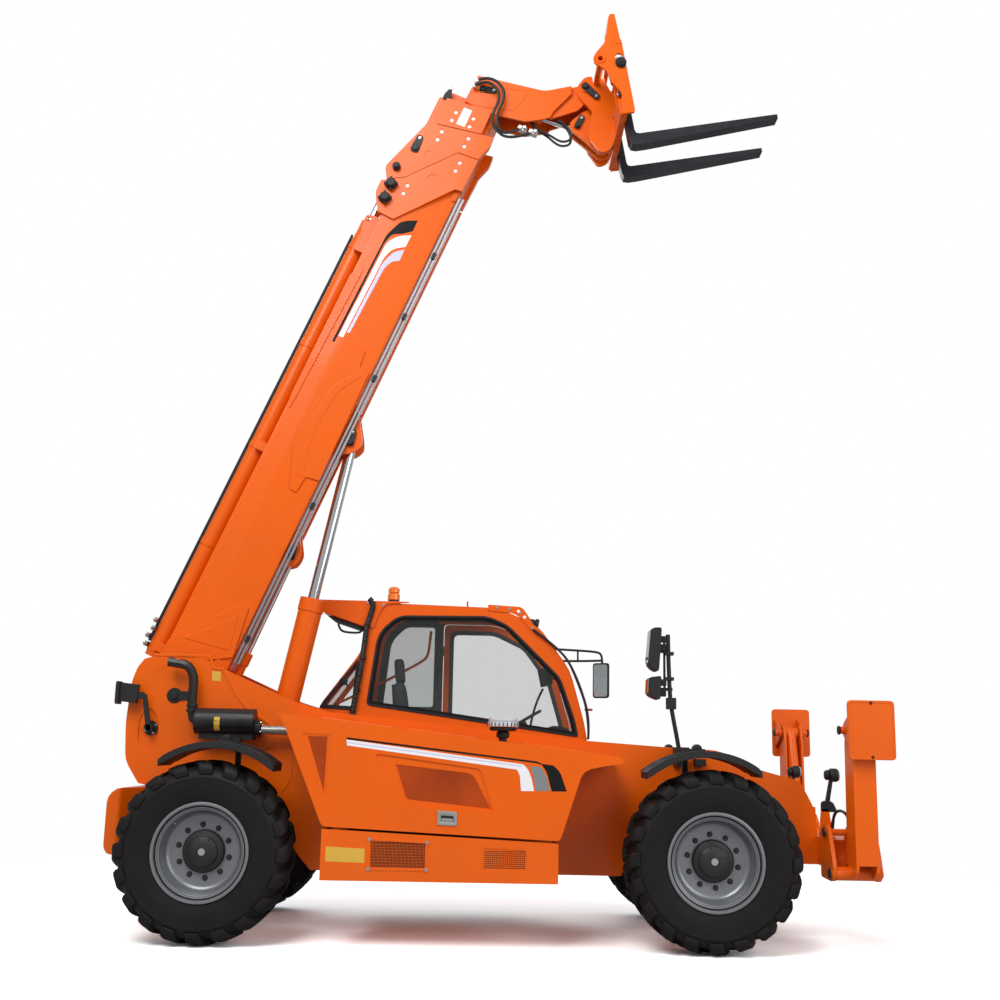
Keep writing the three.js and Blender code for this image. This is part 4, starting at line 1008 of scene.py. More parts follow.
boomPlate("boomBaseRib", [(.44, .20, .03), (.60, .03, .03), (.80, -.14, .03), (.50, -.20, .03)], 0.021,
          bevel=0.006)
ramHead = {"start": 4.325, "end": 4.47, "radius": .079, "rod": .0432}


def ramBracket(bm):
    sidePrism(bm, boomCorners([(4.500, .436, .02), (4.530, .36, .03), (4.50, .285), (4.12, .285), (4.20, .33, .03),
                               (4.36, .425, .03)]), .088, .106)


def ramGland(bm):
    part = lambda m: [discMesh(m, "x", 0, 0, r, a, b, 48, inner=ramHead["rod"], chamfer=.003)
                      for r, a, b in ((ramHead["radius"], ramHead["start"], ramHead["end"]),
                                      (ramHead["radius"] - .018, ramHead["end"] - .002, ramHead["end"] + .02))]
    turned(bm, part, Matrix.Translation(boomSpot(0, .395)) @ boomTurn)


makePiece("ramBracket", "boom_outer", orangePaint, ramBracket, bevel=.003, cuts=[
    lambda bm: discMesh(bm, "y", *boomPoint(4.470, .401), .022, -.2, .2, 20)])
makePiece("ramGland", "boom_outer", orangePaint, ramGland)
for name, material, corners in (
    ("boomStripeBlack", stripeBlack, [
        (4.611, -.028), (4.57, .05), (4.527, .106, .02), (4.369, .166, .04), (3.281, .180), (3.281, .158),
        (4.30, .150, .05), (4.40, .12, .05), (4.43, .05, .03), (4.50, -.030)]),
    ("boomStripeWhite", stripeWhite, [
        (4.46, -.036), (4.425, .03, .03), (4.38, .085, .05), (4.30, .134, .05), (3.346, .150), (3.346, .108),
        (4.18, .095, .05), (4.27, .06, .05), (4.34, -.034)]),
    ("boomStripeLilac", stripeLilac, [
        (4.312, -.036), (4.25, .042, .04), (4.13, .082, .05), (3.40, .096), (3.413, .072), (4.08, .052, .05),
        (4.16, .02, .04), (4.20, -.04)]),
):
    boomPlate(name, corners, decalThick, material, near=0.1946, bevel=0)


def boomTube(name, points, radius, material):
    return tube(name, "boom_outer", [boomSpot(*point) for point in points], radius, material, False)


for k, (t, y) in enumerate(((-.278, -.150), (-.312, -.152), (-.278, .150))):
    boomTube(f"boomPipe{k}", [(.43, t, y), (4.97, t, y)], 0.013, pipeSteel if k < 2 else orangePaint)


def pipeClamps(bm):
    for k in range(7):
        s = 0.65 + 0.62 * k
        if 2.2 < s < 2.95 or 1.25 < s < 1.75:
            continue
        x, z = boomPoint(s, -.295)
        boxMesh(bm, x - .03, x + .03, -.175, -.125, z - .018, z + .018, boomTurn)


makePiece("boomPipeClamps", "boom_outer", blackPlastic, pipeClamps, bevel=0.002)
boomTube("boomTopHose", [(.30, .488, -.03), (4.30, .488, -.03)], 0.011, hoseRubber)
boomTube("boomTopHoseSecond", [(.30, .486, .03), (4.30, .486, .03)], 0.011, hoseRubber)


def ramBands(bm):
    for s in (.26, 1.25, 2.19, 3.2, 4.2):
        turned(bm, lambda part: discMesh(part, "x", 0, 0, 0.0865, -.03, .03, 40, inner=0.080, chamfer=.002),
               Matrix.Translation(boomSpot(s, .395)) @ boomTurn)


makePiece("extensionRamBands", "boom_outer", orangePaint, ramBands)


def baseFittings(bm):
    for s, t in ((.27, .49), (.34, .505), (.41, .49), (.48, .50)):
        x, z = boomPoint(s, t)
        boxMesh(bm, x - .022, x + .022, -.09, -.02, z - .014, z + .014, boomTurn)
        discMesh(bm, "y", x, z, .010, -.135, -.09, 12, chamfer=.001)
        discMesh(bm, "y", x, z, .014, -.115, -.10, 6, chamfer=.001)


makePiece("extensionRamFittings", "boom_outer", zincPlate, baseFittings, bevel=0.001)


def pinPlate(name, body, a, b, near, material=blackPlastic, big=0.036, small=0.028, sides=(-1, 1), thick=0.012):
    # a keeper plate from a pin's end at a to the bolt that holds it at b
    a, b = Vector(a), Vector(b)
    along = (b - a).normalized()
    across = Vector((-along.y, along.x))

    def build(bm):
        corners = [(*(a - along * big + across * big), big), (*(a - along * big - across * big), big),
                   (*(b + along * small - across * small), small), (*(b + along * small + across * small), small)]
        sidePrism(bm, corners, near, near + thick, sides, 8)
        for side in sides:
            low, high = span(side, near + thick, near + thick + .016)
            discMesh(bm, "y", a.x, a.y, big * .72, low, high, 28, chamfer=.003)
    plate = makePiece(name, body, material, build, bevel=0.0025)
    points = [(b.x, side * (near + thick), b.y) for side in sides]
    for side in sides:
        bolts(f"{name}Bolt{'L' if side > 0 else 'R'}", body, [p for p in points if p[1] * side > 0],
              "y" if side > 0 else "-y", 0.011, zincPlate)
    return plate


pinPlate("secondPinPlate", "boom_second", boomPoint(5.223, .277), boomPoint(5.325, .279), collarFace, big=.042)
pinPlate("headPinPlate", "boom_head", (1.911, 7.332), (2.009, 7.316), 0.150, big=.034)
pinPlate("carriagePinPlate", "carriage", leanPoint(-.271, .048), leanPoint(-.188, -.063), 0.1625, big=.036,
         sides=(-1,))
pinPlate("tiltPinPlate", "carriage", leanPoint(-.395, -.285), leanPoint(-.345, -.215), 0.085, big=.030, small=.026,
         thick=.008)
pinPlate("boomPivotPlate", "chassis", (-.463, 1.779), (-.330, 1.779), 0.375, big=.040, small=.032)
liftEyeAt, levelEyeAt = boomPoint(2.533, -.341), boomPoint(1.430, -.309)
pinPlate("liftPinPlate", "boom_outer", liftEyeAt, boomPoint(2.623, -.325), 0.133, big=.036)
pinPlate("levelPinPlate", "boom_outer", levelEyeAt, boomPoint(1.506, -.298), 0.098, big=.030, small=.024)

# guides, knobs and slide pads on the collars
def collarKnobs(bm):
    for side in (-1, 1):
        for s, t in ((4.811, .324), (4.668, .318)):
            x, z = boomPoint(s, t)
            for r, a, b in ((.046, 0, .05), (.040, .05, .075), (.052, .012, .026)):
                discMesh(bm, "y", x, z, r, *span(side, collarFace + a, collarFace + b), 28, chamfer=.006)
            low, high = span(side, .235, .262)
            boxMesh(bm, x - .062, x + .062, low, high, z - .010, z + .010)
            boxMesh(bm, x - .010, x + .010, low, high, z - .062, z + .062)


makePiece("collarGuides", "boom_outer", blackPlastic, collarKnobs, bevel=0.002)
makePiece("secondCollarKnob", "boom_second", blackPlastic,
          lambda bm: [discMesh(bm, "y", *boomPoint(4.985, .352), r, *span(side, a, b), 24, chamfer=.004)
                      for side in (-1, 1) for r, a, b in ((.036, .217, .255), (.025, .255, .275))])
for section, spots in padHoles.items():
    makePiece("padFaces_" + section, section, nylonWhite,
              lambda bm: [discMesh(bm, "y", *boomPoint(s, t), .0175, *span(side, .199, .2115), 20,
                                   chamfer=.002) for s, t in spots for side in (-1, 1)])


def coneGuide(bm):
    for side in (-1, 1):
        sidePrism(bm, boomCorners([(5.925, .232, .012), (5.83, .262, .01), (5.775, .262), (5.775, .19),
                                   (5.83, .195)]), .175, .205, (side,))


makePiece("chainGuides", "boom_third", blackPlastic, coneGuide, bevel=0.004)
bolts("chainGuideBolts", "boom_third", [boomSpot(5.895, .232, -.205)], "-y", .012, zincPlate)
boomPlate("boomMidFlange", [(4.99, -.20), (5.02, -.252), (4.93, -.254), (4.90, -.22)], 0.01)


def hoseFittings(bm):
    y = -.16
    for x, z in ((1.861, 7.393), (1.834, 7.339)):
        discMesh(bm, "y", x, z, .015, y - .05, y + .01, 16, chamfer=.002)
        discMesh(bm, "y", x, z, .021, y - .035, y - .012, 6, chamfer=.002)
    for x, z in ((2.275, 6.933), (2.373, 6.898)):
        boxMesh(bm, x - .04, x + .04, -.19, -.13, z - .02, z + .02, Matrix.Rotation(math.radians(18), 4, "Y"))
        discMesh(bm, "y", x + .02, z, .018, -.215, -.185, 16, chamfer=.002)
        discMesh(bm, "y", x - .02, z + .005, .022, -.205, -.185, 6, chamfer=.002)


makePiece("headFittings", "boom_head", zincPlate, hoseFittings, bevel=0.0015)
hoseRoutes = {
    "headHoseUpper": [(1.861, -.20, 7.393), (1.93, -.21, 7.415), (2.015, -.215, 7.40), (2.095, -.215, 7.318),
                      (2.112, -.215, 7.217), (2.064, -.215, 7.11), (2.040, -.215, 7.019), (2.052, -.215, 6.905),
                      (2.123, -.21, 6.845), (2.245, -.19, 6.925)],
    "headHoseLower": [(1.834, -.20, 7.339), (1.917, -.225, 7.375), (2.003, -.225, 7.350), (2.062, -.225, 7.261),
                      (2.058, -.225, 7.17), (2.007, -.225, 7.063), (1.992, -.225, 6.972), (2.045, -.22, 6.872),
                      (2.151, -.21, 6.800), (2.345, -.19, 6.885)],
}
for name, route in hoseRoutes.items():
    tube(name, "boom_head", route, 0.0135, hoseRubber)
for name, y, drop in (("tiltHoseRight", -.085, 0), ("tiltHoseLeft", -.055, .028)):
    tiltHose = tube(name, None, [(2.36, y, 7.06), (2.40, y, 6.985), (2.50, y, 6.940), (2.56, y, 6.905 - drop),
                                 (2.62, y, 6.862 - drop), (2.69, y, 6.862 - drop), (2.745, y, 6.905 - drop),
                                 (2.70, y, 7.02), (2.60, y, 7.08)], 0.011, hoseRubber)
    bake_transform(tiltHose)


def headRibs(bm):
    # the pressed outline on the head's side
    path = [(1.813, 7.314), (1.767, 7.208), (1.852, 7.165), (2.202, 7.126), (2.323, 7.304), (2.304, 7.327),
            (2.128, 7.345), (2.101, 7.314)]
    for a, b in zip(path, path[1:]):
        a, b = Vector(a), Vector(b)
        across = Vector((-(b - a).y, (b - a).x)).normalized() * .005
        sidePrism(bm, [a + across, b + across, b - across, a - across], .149, .1535)


makePiece("headPressing", "boom_head", orangePaint, headRibs, bevel=0.0012, segments=1)
makePiece("thirdCollarLabel", "boom_third", stripeWhite,
          lambda bm: sidePrism(bm, boomCorners([(5.766, .040), (5.768, -.038), (5.594, -.040), (5.592, .041)]),
                               .2165, .2180))

# carriage
discAt = leanPoint(0.007, 0.006)


def lockDisc(bm):
    for side in (-1, 1):
        for r, a, b in ((.049, .565, .585), (.038, .585, .598), (.020, .598, .606)):
            low, high = span(side, a, b)
            discMesh(bm, "y", *discAt, r, low, high, 36, chamfer=.003)


makePiece("forkShaftDiscs", "carriage", blackPlastic, lockDisc)
for side in (-1, 1):
    bolts(f"forkShaftBolts{side + 1}", "carriage", [leanSpot(dx, dz, side * .566) for dx, dz in (
        (-.022, .060), (.024, .062), (.046, -.038))], "y" if side > 0 else "-y", .008, zincPlate)
makePiece("carriageEyeRims", "carriage", orangePaint,
          lambda bm: [discMesh(bm, "y", *leanPoint(-.166, .074), .046, *span(side, .560, .573), 32,
                               inner=.024, chamfer=.002) for side in (-1, 1)])
makePiece("carriageSteps", "carriage", orangePaint,
          lambda bm: sidePrism(bm, leanCorners([(-.018, .205), (.046, .199), (.046, .191), (-.018, .197)]),
                               .564, .570), bevel=0.001, segments=1)


def carriageRibs(bm):
    for y in (-.40, 0, .40):
        prismMesh(bm, leanCorners([(-.075, -.32), (-.062, .20), (-.05, .20), (-.055, -.32)]), "y",
                  y - .008, y + .008)


makePiece("carriageRibs", "carriage", orangePaint, carriageRibs, bevel=0.002)
print("boom and carriage dressed")


def shrink(corners, distance):
    # the outline moved inwards by a distance (outwards where it is negative)
    points = [Vector(c[:2]) for c in corners]
    area = sum(a.x * b.y - b.x * a.y for a, b in zip(points, points[1:] + points[:1]))
    turn = 1 if area > 0 else -1
    moved = []
    for i, p in enumerate(points):
        a, b = points[i - 1], points[(i + 1) % len(points)]
        u, v = (p - a).normalized(), (b - p).normalized()
        n1, n2 = Vector((-u.y, u.x)) * turn, Vector((-v.y, v.x)) * turn
        join = (n1 + n2) / max(1 + n1.dot(n2), 0.3)
        radius = corners[i][2] if len(corners[i]) > 2 else 0
        moved.append((*(p + join * distance), max(radius - distance * 0.6, 0.004)))
    return moved


def ringPiece(name, body, material, corners, outer, inner, low, high, bevel=0.0):
    # a flat ring between two offsets of one outline, square to y
    return makePiece(name, body, material, lambda bm: prismMesh(bm, shrink(corners, outer), "y", low, high),
                     bevel=bevel,
                     cuts=[lambda bm: prismMesh(bm, shrink(corners, inner), "y", low - .02, high + .02)])


def arcBand(bm, centre, r0, r1, start, end, y0, y1, steps=24):
    rings = []
    for k in range(steps + 1):
        a = math.radians(start + (end - start) * k / steps)
        spot = lambda r, y: bm.verts.new((centre[0] + r * math.cos(a), y, centre[1] + r * math.sin(a)))
        rings.append((spot(r0, y0), spot(r1, y0), spot(r1, y1), spot(r0, y1)))
    for a, b in zip(rings, rings[1:]):
        for k in range(4):
            j = (k + 1) % 4
            bm.faces.new((a[k], a[j], b[j], b[k]))
    bm.faces.new(rings[0])
    bm.faces.new(rings[-1])


def alongPath(points, step):
    # places and directions at even steps along a broken line
    spots, left = [], 0.0
    for a, b in zip(points, points[1:]):
        a, b = Vector(a), Vector(b)
        length, d = (b - a).length, (b - a).normalized()
        while left <= length:
            spots.append((a + d * left, d))
            left += step
        left -= length
    return spots


def corrugated(name, body, points, radius, material, pitch=0.014, rise=1.14, sides=14):
    def build(bm):
        for spot, d in alongPath(points, pitch):
            turn = d.to_track_quat("Z", "Y").to_matrix()
            rings = []
            for r, w in ((radius, -pitch / 2), (radius * rise, -pitch * .2), (radius * rise, pitch * .2),
                         (radius, pitch / 2)):
                angles = [2 * math.pi * k / sides for k in range(sides)]
                rings.append([bm.verts.new(spot + turn @ Vector((r * math.cos(a), r * math.sin(a), w)))
                              for a in angles])
            for a, b in zip(rings, rings[1:]):
                for k in range(sides):
                    bm.faces.new((a[k], a[(k + 1) % sides], b[(k + 1) % sides], b[k]))
            bm.faces.new(rings[0])
            bm.faces.new(rings[-1])
    return makePiece(name, body, material, build, sharp=60)


# hood: stripes, handle, work light and vents
hoodLines = {
    "hoodStripeBlack": (stripeBlack, [(1.031, 1.473), (1.035, 1.458), (2.44, 1.313), (2.478, 1.302),
                                      (2.478, 1.312), (2.44, 1.326)]),
    "hoodStripeWhiteUpper": (stripeWhite, [(1.032, 1.456), (1.034, 1.440), (2.335, 1.293), (2.335, 1.262),
                                           (2.300, 1.262), (2.322, 1.22, .02), (2.332, 1.109), (2.428, 1.111),
                                           (2.41, 1.20, .03), (2.38, 1.27, .03), (2.345, 1.302)]),
    "hoodStripeLilac": (stripeLilac, [(1.034, 1.440), (1.036, 1.430), (2.335, 1.283), (2.335, 1.293)]),
    "hoodStripeWhiteLower": (stripeWhite, [(1.036, 1.430), (1.037, 1.414), (2.305, 1.262), (2.335, 1.262),
                                           (2.335, 1.283)]),
    "hoodStripeGrey": (stripeGrey, [(2.395, 1.292), (2.478, 1.284), (2.52, 1.218, .04), (2.548, 1.114),
                                    (2.443, 1.112), (2.421, 1.224, .04)]),
    "hoodStripeBlock": (stripeBlack, [(2.478, 1.309), (2.569, 1.298), (2.619, 1.252, .04), (2.67, 1.113),
                                      (2.558, 1.111), (2.52, 1.25, .03)]),
}


def onHood(corners, low, high):
    # a plate on the hood's right face, between two heights above it
    return lambda bm: sidePrism(bm, corners, hoodFace + low, hoodFace + high, (-1,))


def roundBox(x0, x1, lowLeft, highLeft, lowRight, highRight, radius):
    return [(x0, highLeft, radius), (x1, highRight, radius), (x1, lowRight, radius), (x0, lowLeft, radius)]


for name, (material, corners) in hoodLines.items():
    makePiece(name, "engine_hood", material, onHood(corners, -.0005, decalThick))
makePiece("hoodHandle", "engine_hood", zincPlate, onHood(roundBox(1.722, 1.866, .856, .957, .851, .951, .008),
          -.001, .009), bevel=.002,
          cuts=[onHood(roundBox(1.742, 1.846, .877, .935, .872, .930, .006), .001, .02)])
makePiece("hoodHandleSlot", "engine_hood", blackPlastic,
          onHood(roundBox(1.748, 1.840, .886, .925, .882, .920, .004), 0, .0035))
makePiece("hoodHandleGrip", "engine_hood", zincPlate,
          onHood(roundBox(1.752, 1.836, .888, .905, .884, .901, .003), .001, .008), bevel=.002)


def recessPanels(bm):
    for part, inset, depth, rise in (("middle", .008, "deep", .002), ("corner", .006, "corner", .0015)):
        onHood(shrink(hoodOutline[part], inset), -recess[depth] - .002, -recess[depth] + rise)(bm)


# panels in the hood's recesses, in a darker orange that is painted shade of the recess
makePiece("hoodRecessPanels", "engine_hood", orangeMesh, recessPanels)


def hoodPads(bm):
    # low raised pads along the hood's upper edge
    for x0, x1 in ((.78, 1.36), (1.46, 2.02), (2.34, 2.86)):
        low = lambda x: 1.640 - (x - .51) * .1045
        corners = [(x0, low(x0) - .004), (x1, low(x1) - .004),
                   (x1 - .03, low(x1) + .010), (x0 + .03, low(x0) + .010)]
        prismMesh(bm, corners, "y", -.86, -.50)


makePiece("hoodPads", "engine_hood", orangePaint, hoodPads, bevel=.005)


def hoodLamp(bm):
    discMesh(bm, "z", 2.195, -.9, .030, 1.455, 1.50, 28, chamfer=.004)
    discMesh(bm, "z", 2.195, -.9, .050, 1.49, 1.545, 28, chamfer=.012)
    discMesh(bm, "z", 2.195, -.9, .105, 1.545, 1.575, 48, chamfer=.010)


makePiece("hoodLampBody", "engine_hood", blackPlastic, hoodLamp)
makePiece("hoodLampLens", "engine_hood", clearLens,
          lambda bm: [discMesh(bm, "z", 2.195, -.9, .122, 1.574, 1.612, 48, chamfer=.006),
                      discMesh(bm, "z", 2.195, -.9, .112, 1.610, 1.642, 48, chamfer=.012)])


def hoodLampFins(bm):
    for k in range(24):
        a = 2 * math.pi * k / 24
        made = boxMesh(bm, .112, .1245, -.0035, .0035, 1.578, 1.606)
        turn = Matrix.Translation((2.195, -.9, 0)) @ Matrix.Rotation(a, 4, "Z")
        bmesh.ops.transform(bm, matrix=turn, verts=made)


makePiece("hoodLampFins", "engine_hood", blackPlastic, hoodLampFins)
vents = {"open": (1.232, 1.646, .540, .735), "small": (2.058, 2.380, .545, .690)}


def ventPlate(name, bounds, columns, rows, slot):
    x0, x1, z0, z1 = bounds
    makePiece(name + "Plate", "chassis", orangePaint,
              lambda bm: boxMesh(bm, x0 - .004, x1 + .004, -1.1745, -1.1705, z0 - .004, z1 + .012))
    # black slot marks on the plate: painted shade of the vent openings
    paintedHoleShade = makePiece(name + "Holes", None, stripeBlack, slot, placed=False)
    stepX, stepZ = (x1 - x0 - .02) / columns, (z1 - z0 - .015) / rows
    spread(paintedHoleShade, gridCopies, stripeBlack, Columns=columns, Rows=rows, Column_step=(stepX, 0.0, 0.0),
           Row_step=(0.0, 0.0, stepZ))
    low = [min(v.co[i] for v in paintedHoleShade.data.vertices) for i in range(3)]
    corner = Vector((x0 + .014 - low[0], -1.1752 - low[1], z0 + .010 - low[2]))
    paintedHoleShade.data.transform(Matrix.Translation(origin + corner))
    settle(paintedHoleShade, "chassis")


ventPlate("rearVent", vents["open"], 40, 9, lambda bm: boxMesh(bm, -.0032, .0032, -.0006, .0006, -.0088, .0088))
ventPlate("frontVent", vents["small"], 22, 9, lambda bm: discMesh(bm, "y", 0, 0, .0052, -.0006, .0006, 6))
makePiece("ventFrame", "chassis", orangePaint, onHood(roundBox(1.218, 1.662, .526, .755, .526, .738, .012),
          -.002, .004), bevel=.0015, cuts=[cutSide(roundBox(1.238, 1.642, .545, .737, .545, .721, .01), 1.1, 1.3)])
bolts("ventScrews", "chassis", [(1.228, -1.184, .745), (1.652, -1.184, .729), (1.228, -1.184, .536),
                                (1.652, -1.184, .536)], "-y", .011, zincPlate)
for name, face, corners in (
    ("panelLabel", hoodFace, [(.915, .688), (1.198, .677), (1.198, .578), (.915, .583)]),
    ("frameLabel", .375, [(-.170, 1.981), (-.100, 1.978), (-.096, 1.901), (-.168, 1.904)]),
):
    makePiece(name, "chassis", labelYellow,
              lambda bm: sidePrism(bm, corners, face - .0005, face + decalThick, (-1,)))

# frame side: lamp mount, keeper discs, rims and the rear lamp
frameFace = .375


def frameDiscs(bm):
    for x, z, r, high in ((-.633, 1.518, .058, .010), (-.633, 1.518, .036, .018), (-.463, 1.779, .062, .006)):
        for side in (-1, 1):
            discMesh(bm, "y", x, z, r, *span(side, frameFace - .002, frameFace + high), 32, chamfer=.003)


makePiece("frameDiscs", "chassis", blackPlastic, frameDiscs)
bolts("frameDiscBolts", "chassis", [(-.633 + .045 * math.cos(a), -frameFace - .010, 1.518 + .045 * math.sin(a))
                                    for a in (.5, 2.1, 3.6, 5.2)], "-y", .008, zincPlate)
rimLine = [(-.651, 2.106), (-.197, 2.102), (-.180, 2.060), (-.165, 2.013), (-.125, 2.000), (-.087, 2.002),
           (-.044, 1.938), (.043, 1.786), (.153, 1.667), (.353, 1.551)]


def raisedLine(name, body, line, face, width, rise, material, side=-1):
    points = [Vector(p) for p in line]
    left, right = [], []
    for i, p in enumerate(points):
        d = (points[min(i + 1, len(points) - 1)] - points[max(i - 1, 0)]).normalized()
        left.append(p + Vector((-d.y, d.x)) * width / 2)
        right.append(p - Vector((-d.y, d.x)) * width / 2)
    return makePiece(name, body, material,
                     lambda bm: sidePrism(bm, left + right[::-1], face - .002, face + rise, (side,)),
                     bevel=rise * .45)


raisedLine("frameRim", "chassis", rimLine, frameFace, .022, .007, orangePaint)
raisedLine("frameArc", "chassis", [(.455, 1.452), (.488, 1.39), (.506, 1.327), (.516, 1.25), (.514, 1.177),
                                   (.49, 1.10), (.445, 1.039)], frameFace, .012, .004, orangePaint)
makePiece("frameDimple", "chassis", orangePaint,
          lambda bm: discMesh(bm, "y", -.129, 2.046, .030, -.380, -.374, 28, inner=.018, chamfer=.002))


def rearLamp(bm):
    boxMesh(bm, -.880, -.735, -.475, -.425, 1.715, 1.865, Matrix.Rotation(math.radians(6), 4, "Y"))
    boxMesh(bm, -.905, -.878, -.500, -.400, 1.700, 1.880)
    boxMesh(bm, -.745, -.690, -.465, -.435, 1.745, 1.800)
    prismMesh(bm, [(-.705, 1.80, .01), (-.665, 1.78, .01), (-.610, 1.500, .01), (-.650, 1.490, .01)], "y",
              -.462, -.438)
    boxMesh(bm, -.655, -.605, -.462, -.376, 1.495, 1.545)


makePiece("rearLampBracket", "chassis", blackPlastic, rearLamp, bevel=.005)
makePiece("rearLampLens", "chassis", redLens,
          lambda bm: boxMesh(bm, -.911, -.905, -.490, -.410, 1.715, 1.865), bevel=.002)

# exhaust: slots, collar and corrugated pipe
silencer = {"centre": (-.49, 1.58), "radius": .1, "rows": 16, "columns": 13}


def silencerSlots(bm):
    for row in range(silencer["rows"]):
        a = 2 * math.pi * row / silencer["rows"]
        for column in range(silencer["columns"]):
            x = -.195 + .031 * column
            made = boxMesh(bm, x - .009, x + .009, -.0032, .0032,
                           silencer["radius"] - .002, silencer["radius"] + .0025)
            turn = Matrix.Translation((0, *silencer["centre"])) @ Matrix.Rotation(a, 4, "X")
            bmesh.ops.transform(bm, matrix=turn, verts=made)


makePiece("silencerSlots", "chassis", castBlack, silencerSlots)


def silencerRings(bm):
    for x, r in ((-.243, .103), (.218, .103)):
        discMesh(bm, "x", *silencer["centre"], r, x - .006, x + .006, 48, chamfer=.002)
    discMesh(bm, "x", -.49, 1.53, .070, .256, .270, 36, chamfer=.003)
    for z in (1.66, 1.70):
        discMesh(bm, "z", -.287, -.49, .045, z - .012, z + .012, 32, chamfer=.004)


makePiece("silencerRings", "chassis", castBlack, silencerRings)
makePiece("silencerFlangeBolts", "chassis", zincPlate,
          lambda bm: [discMesh(bm, "x", -.49 + .052 * math.cos(a), 1.53 + .052 * math.sin(a), .009, .270, .279, 6)
                      for a in (.5, 2.1, 3.7, 5.2)])
corrugated("exhaustPipe", "chassis", [(.282, -.49, 1.518), (.70, -.49, 1.518)], .034, zincPlate, pitch=.012,
           rise=1.08, sides=24)


def silencerLabel(bm):
    for k in range(5):
        made = boxMesh(bm, -.085, -.040, -.0115, .0115, .1002, .1020)
        turn = Matrix.Rotation(math.radians(78 + 13 * k), 4, "X")
        bmesh.ops.transform(bm, matrix=Matrix.Translation((0, *silencer["centre"])) @ turn, verts=made)


makePiece("silencerLabel", "chassis", labelYellow, silencerLabel)
print("hood and frame dressed")

# cab: seals and borders, linings, lamps, beacon, hoses, mirror and seat
rightGlass = [(1.020, 1.757, .04), (1.098, 2.385, .12), (1.270, 2.540, .08), (2.060, 2.550, .06),
              (2.240, 2.475, .06), (2.705, 2.026, .06), (2.835, 1.665, .06), (2.865, 1.520, .03)]
quarterGlass = [(1.080, 1.757, .04), (1.140, 2.385, .10), (1.290, 2.530, .06), (1.580, 2.530, .04),
                (1.580, 1.757, .04)]
doorGlass = [(1.730, 1.480, .04), (1.730, 2.465, .06), (2.130, 2.465, .06), (2.410, 2.335, .06),
             (2.640, 2.030, .06), (2.755, 1.640, .06), (2.780, 1.480, .04)]
rearGlass = [(.652, 1.748, .02), (.920, 2.118, .02), (.898, 1.735, .02)]
seal = {"border": .040, "width": .016}
cabRings = (
    ("rightWindowSeal", "chassis", blackPlastic, rightGlass, -.004, seal["width"], .378, .396),
    ("rightWindowBorder", "chassis", stripeBlack, rightGlass, .002, seal["border"], .394, .3965),
    ("quarterWindowSeal", "chassis", blackPlastic, quarterGlass, -.006, seal["width"], 1.189, 1.206),
    ("rearGlassSealLeft", "chassis", blackPlastic, rearGlass, -.027, .008, 1.189, 1.206),
    ("rearGlassSealRight", "chassis", blackPlastic, rearGlass, -.027, .008, .378, .396),
    ("doorGlassSeal", "cab_door", blackPlastic, doorGlass, -.006, seal["width"], 1.189, 1.206),
    ("doorLining", "cab_door", cabLining, doorGlass, -.020, .014, 1.141, 1.150),
    ("quarterLining", "chassis", cabLining, quarterGlass, -.045, .010, 1.139, 1.150),
    ("rightWindowLining", "chassis", cabLining, rightGlass, -.045, .006, .435, .444),
)
for ring in cabRings:
    ringPiece(*ring, bevel=0 if ring[0] == "rightWindowBorder" else .003)
makePiece("cabFloorMat", "chassis", hoseRubber, lambda bm: boxMesh(bm, 1.0, 2.78, .45, 1.14, .9802, .992))
cabSlabs = {
    "cabPost": ([(1.600, 1.00), (1.600, 2.54), (1.648, 2.54), (1.648, 1.00)], 1.135, 1.150, .004),
    "cabSill": ([(.93, 1.02), (.93, 1.70), (1.02, 1.745), (2.84, 1.500), (2.84, 1.02)], .4355, .448, .004),
    "cabRearSill": ([(.74, 1.34), (.69, 1.69), (1.595, 1.73), (1.595, 1.02), (.93, 1.02)], 1.137, 1.1495, .004),
    "cabHeadlining": ([(1.06, 2.575), (1.40, 2.590), (2.16, 2.570), (2.16, 2.560), (1.40, 2.578), (1.06, 2.563)],
                      .445, 1.14, 0),
}
for name, (corners, near, far, width) in cabSlabs.items():
    makePiece(name, "chassis", cabLining, lambda bm: prismMesh(bm, corners, "y", near, far), bevel=width)
tube("cabGrabRail", "chassis", [(1.00, 1.125, 1.93), (1.10, 1.10, 1.99), (1.30, 1.10, 2.10), (1.47, 1.10, 2.195),
                                (1.52, 1.10, 2.25), (1.525, 1.10, 2.42), (1.53, 1.135, 2.47)], .013, orangePaint)
tube("cabRearRail", "chassis", [(.70, 1.05, 1.79), (.93, 1.05, 1.90), (1.02, 1.05, 1.94)], .012, orangePaint)
tube("wheelGrip", "chassis", [(2.45, .475, 1.56), (2.46, .50, 1.70), (2.52, .50, 1.86), (2.56, .475, 1.93)], .011,
     blackPlastic)


def instruments(bm):
    turn = Matrix.Rotation(math.radians(-12), 4, "Y") @ Matrix.Rotation(math.radians(25), 4, "Z")
    boxMesh(bm, 2.56, 2.60, .53, .68, 1.96, 2.12, turn)
    boxMesh(bm, 2.595, 2.625, .56, .65, 1.985, 2.095, turn)
    boxMesh(bm, 2.60, 2.73, .59, .61, 2.02, 2.04)
    prismMesh(bm, [(2.60, 1.50, .03), (2.63, 1.62, .05), (2.80, 1.60, .05), (2.84, 1.50, .03)], "y", .60, 1.05)
    prismMesh(bm, [(1.46, 1.36, .02), (1.46, 1.48, .03), (1.86, 1.52, .03), (1.90, 1.40, .03)], "y", .50, .565)
    for x, y in ((1.80, .532), (1.86, .532)):
        discMesh(bm, "z", x, y, .010, 1.50, 1.60, 12, chamfer=.002)
        discMesh(bm, "z", x, y, .022, 1.595, 1.65, 20, chamfer=.008)


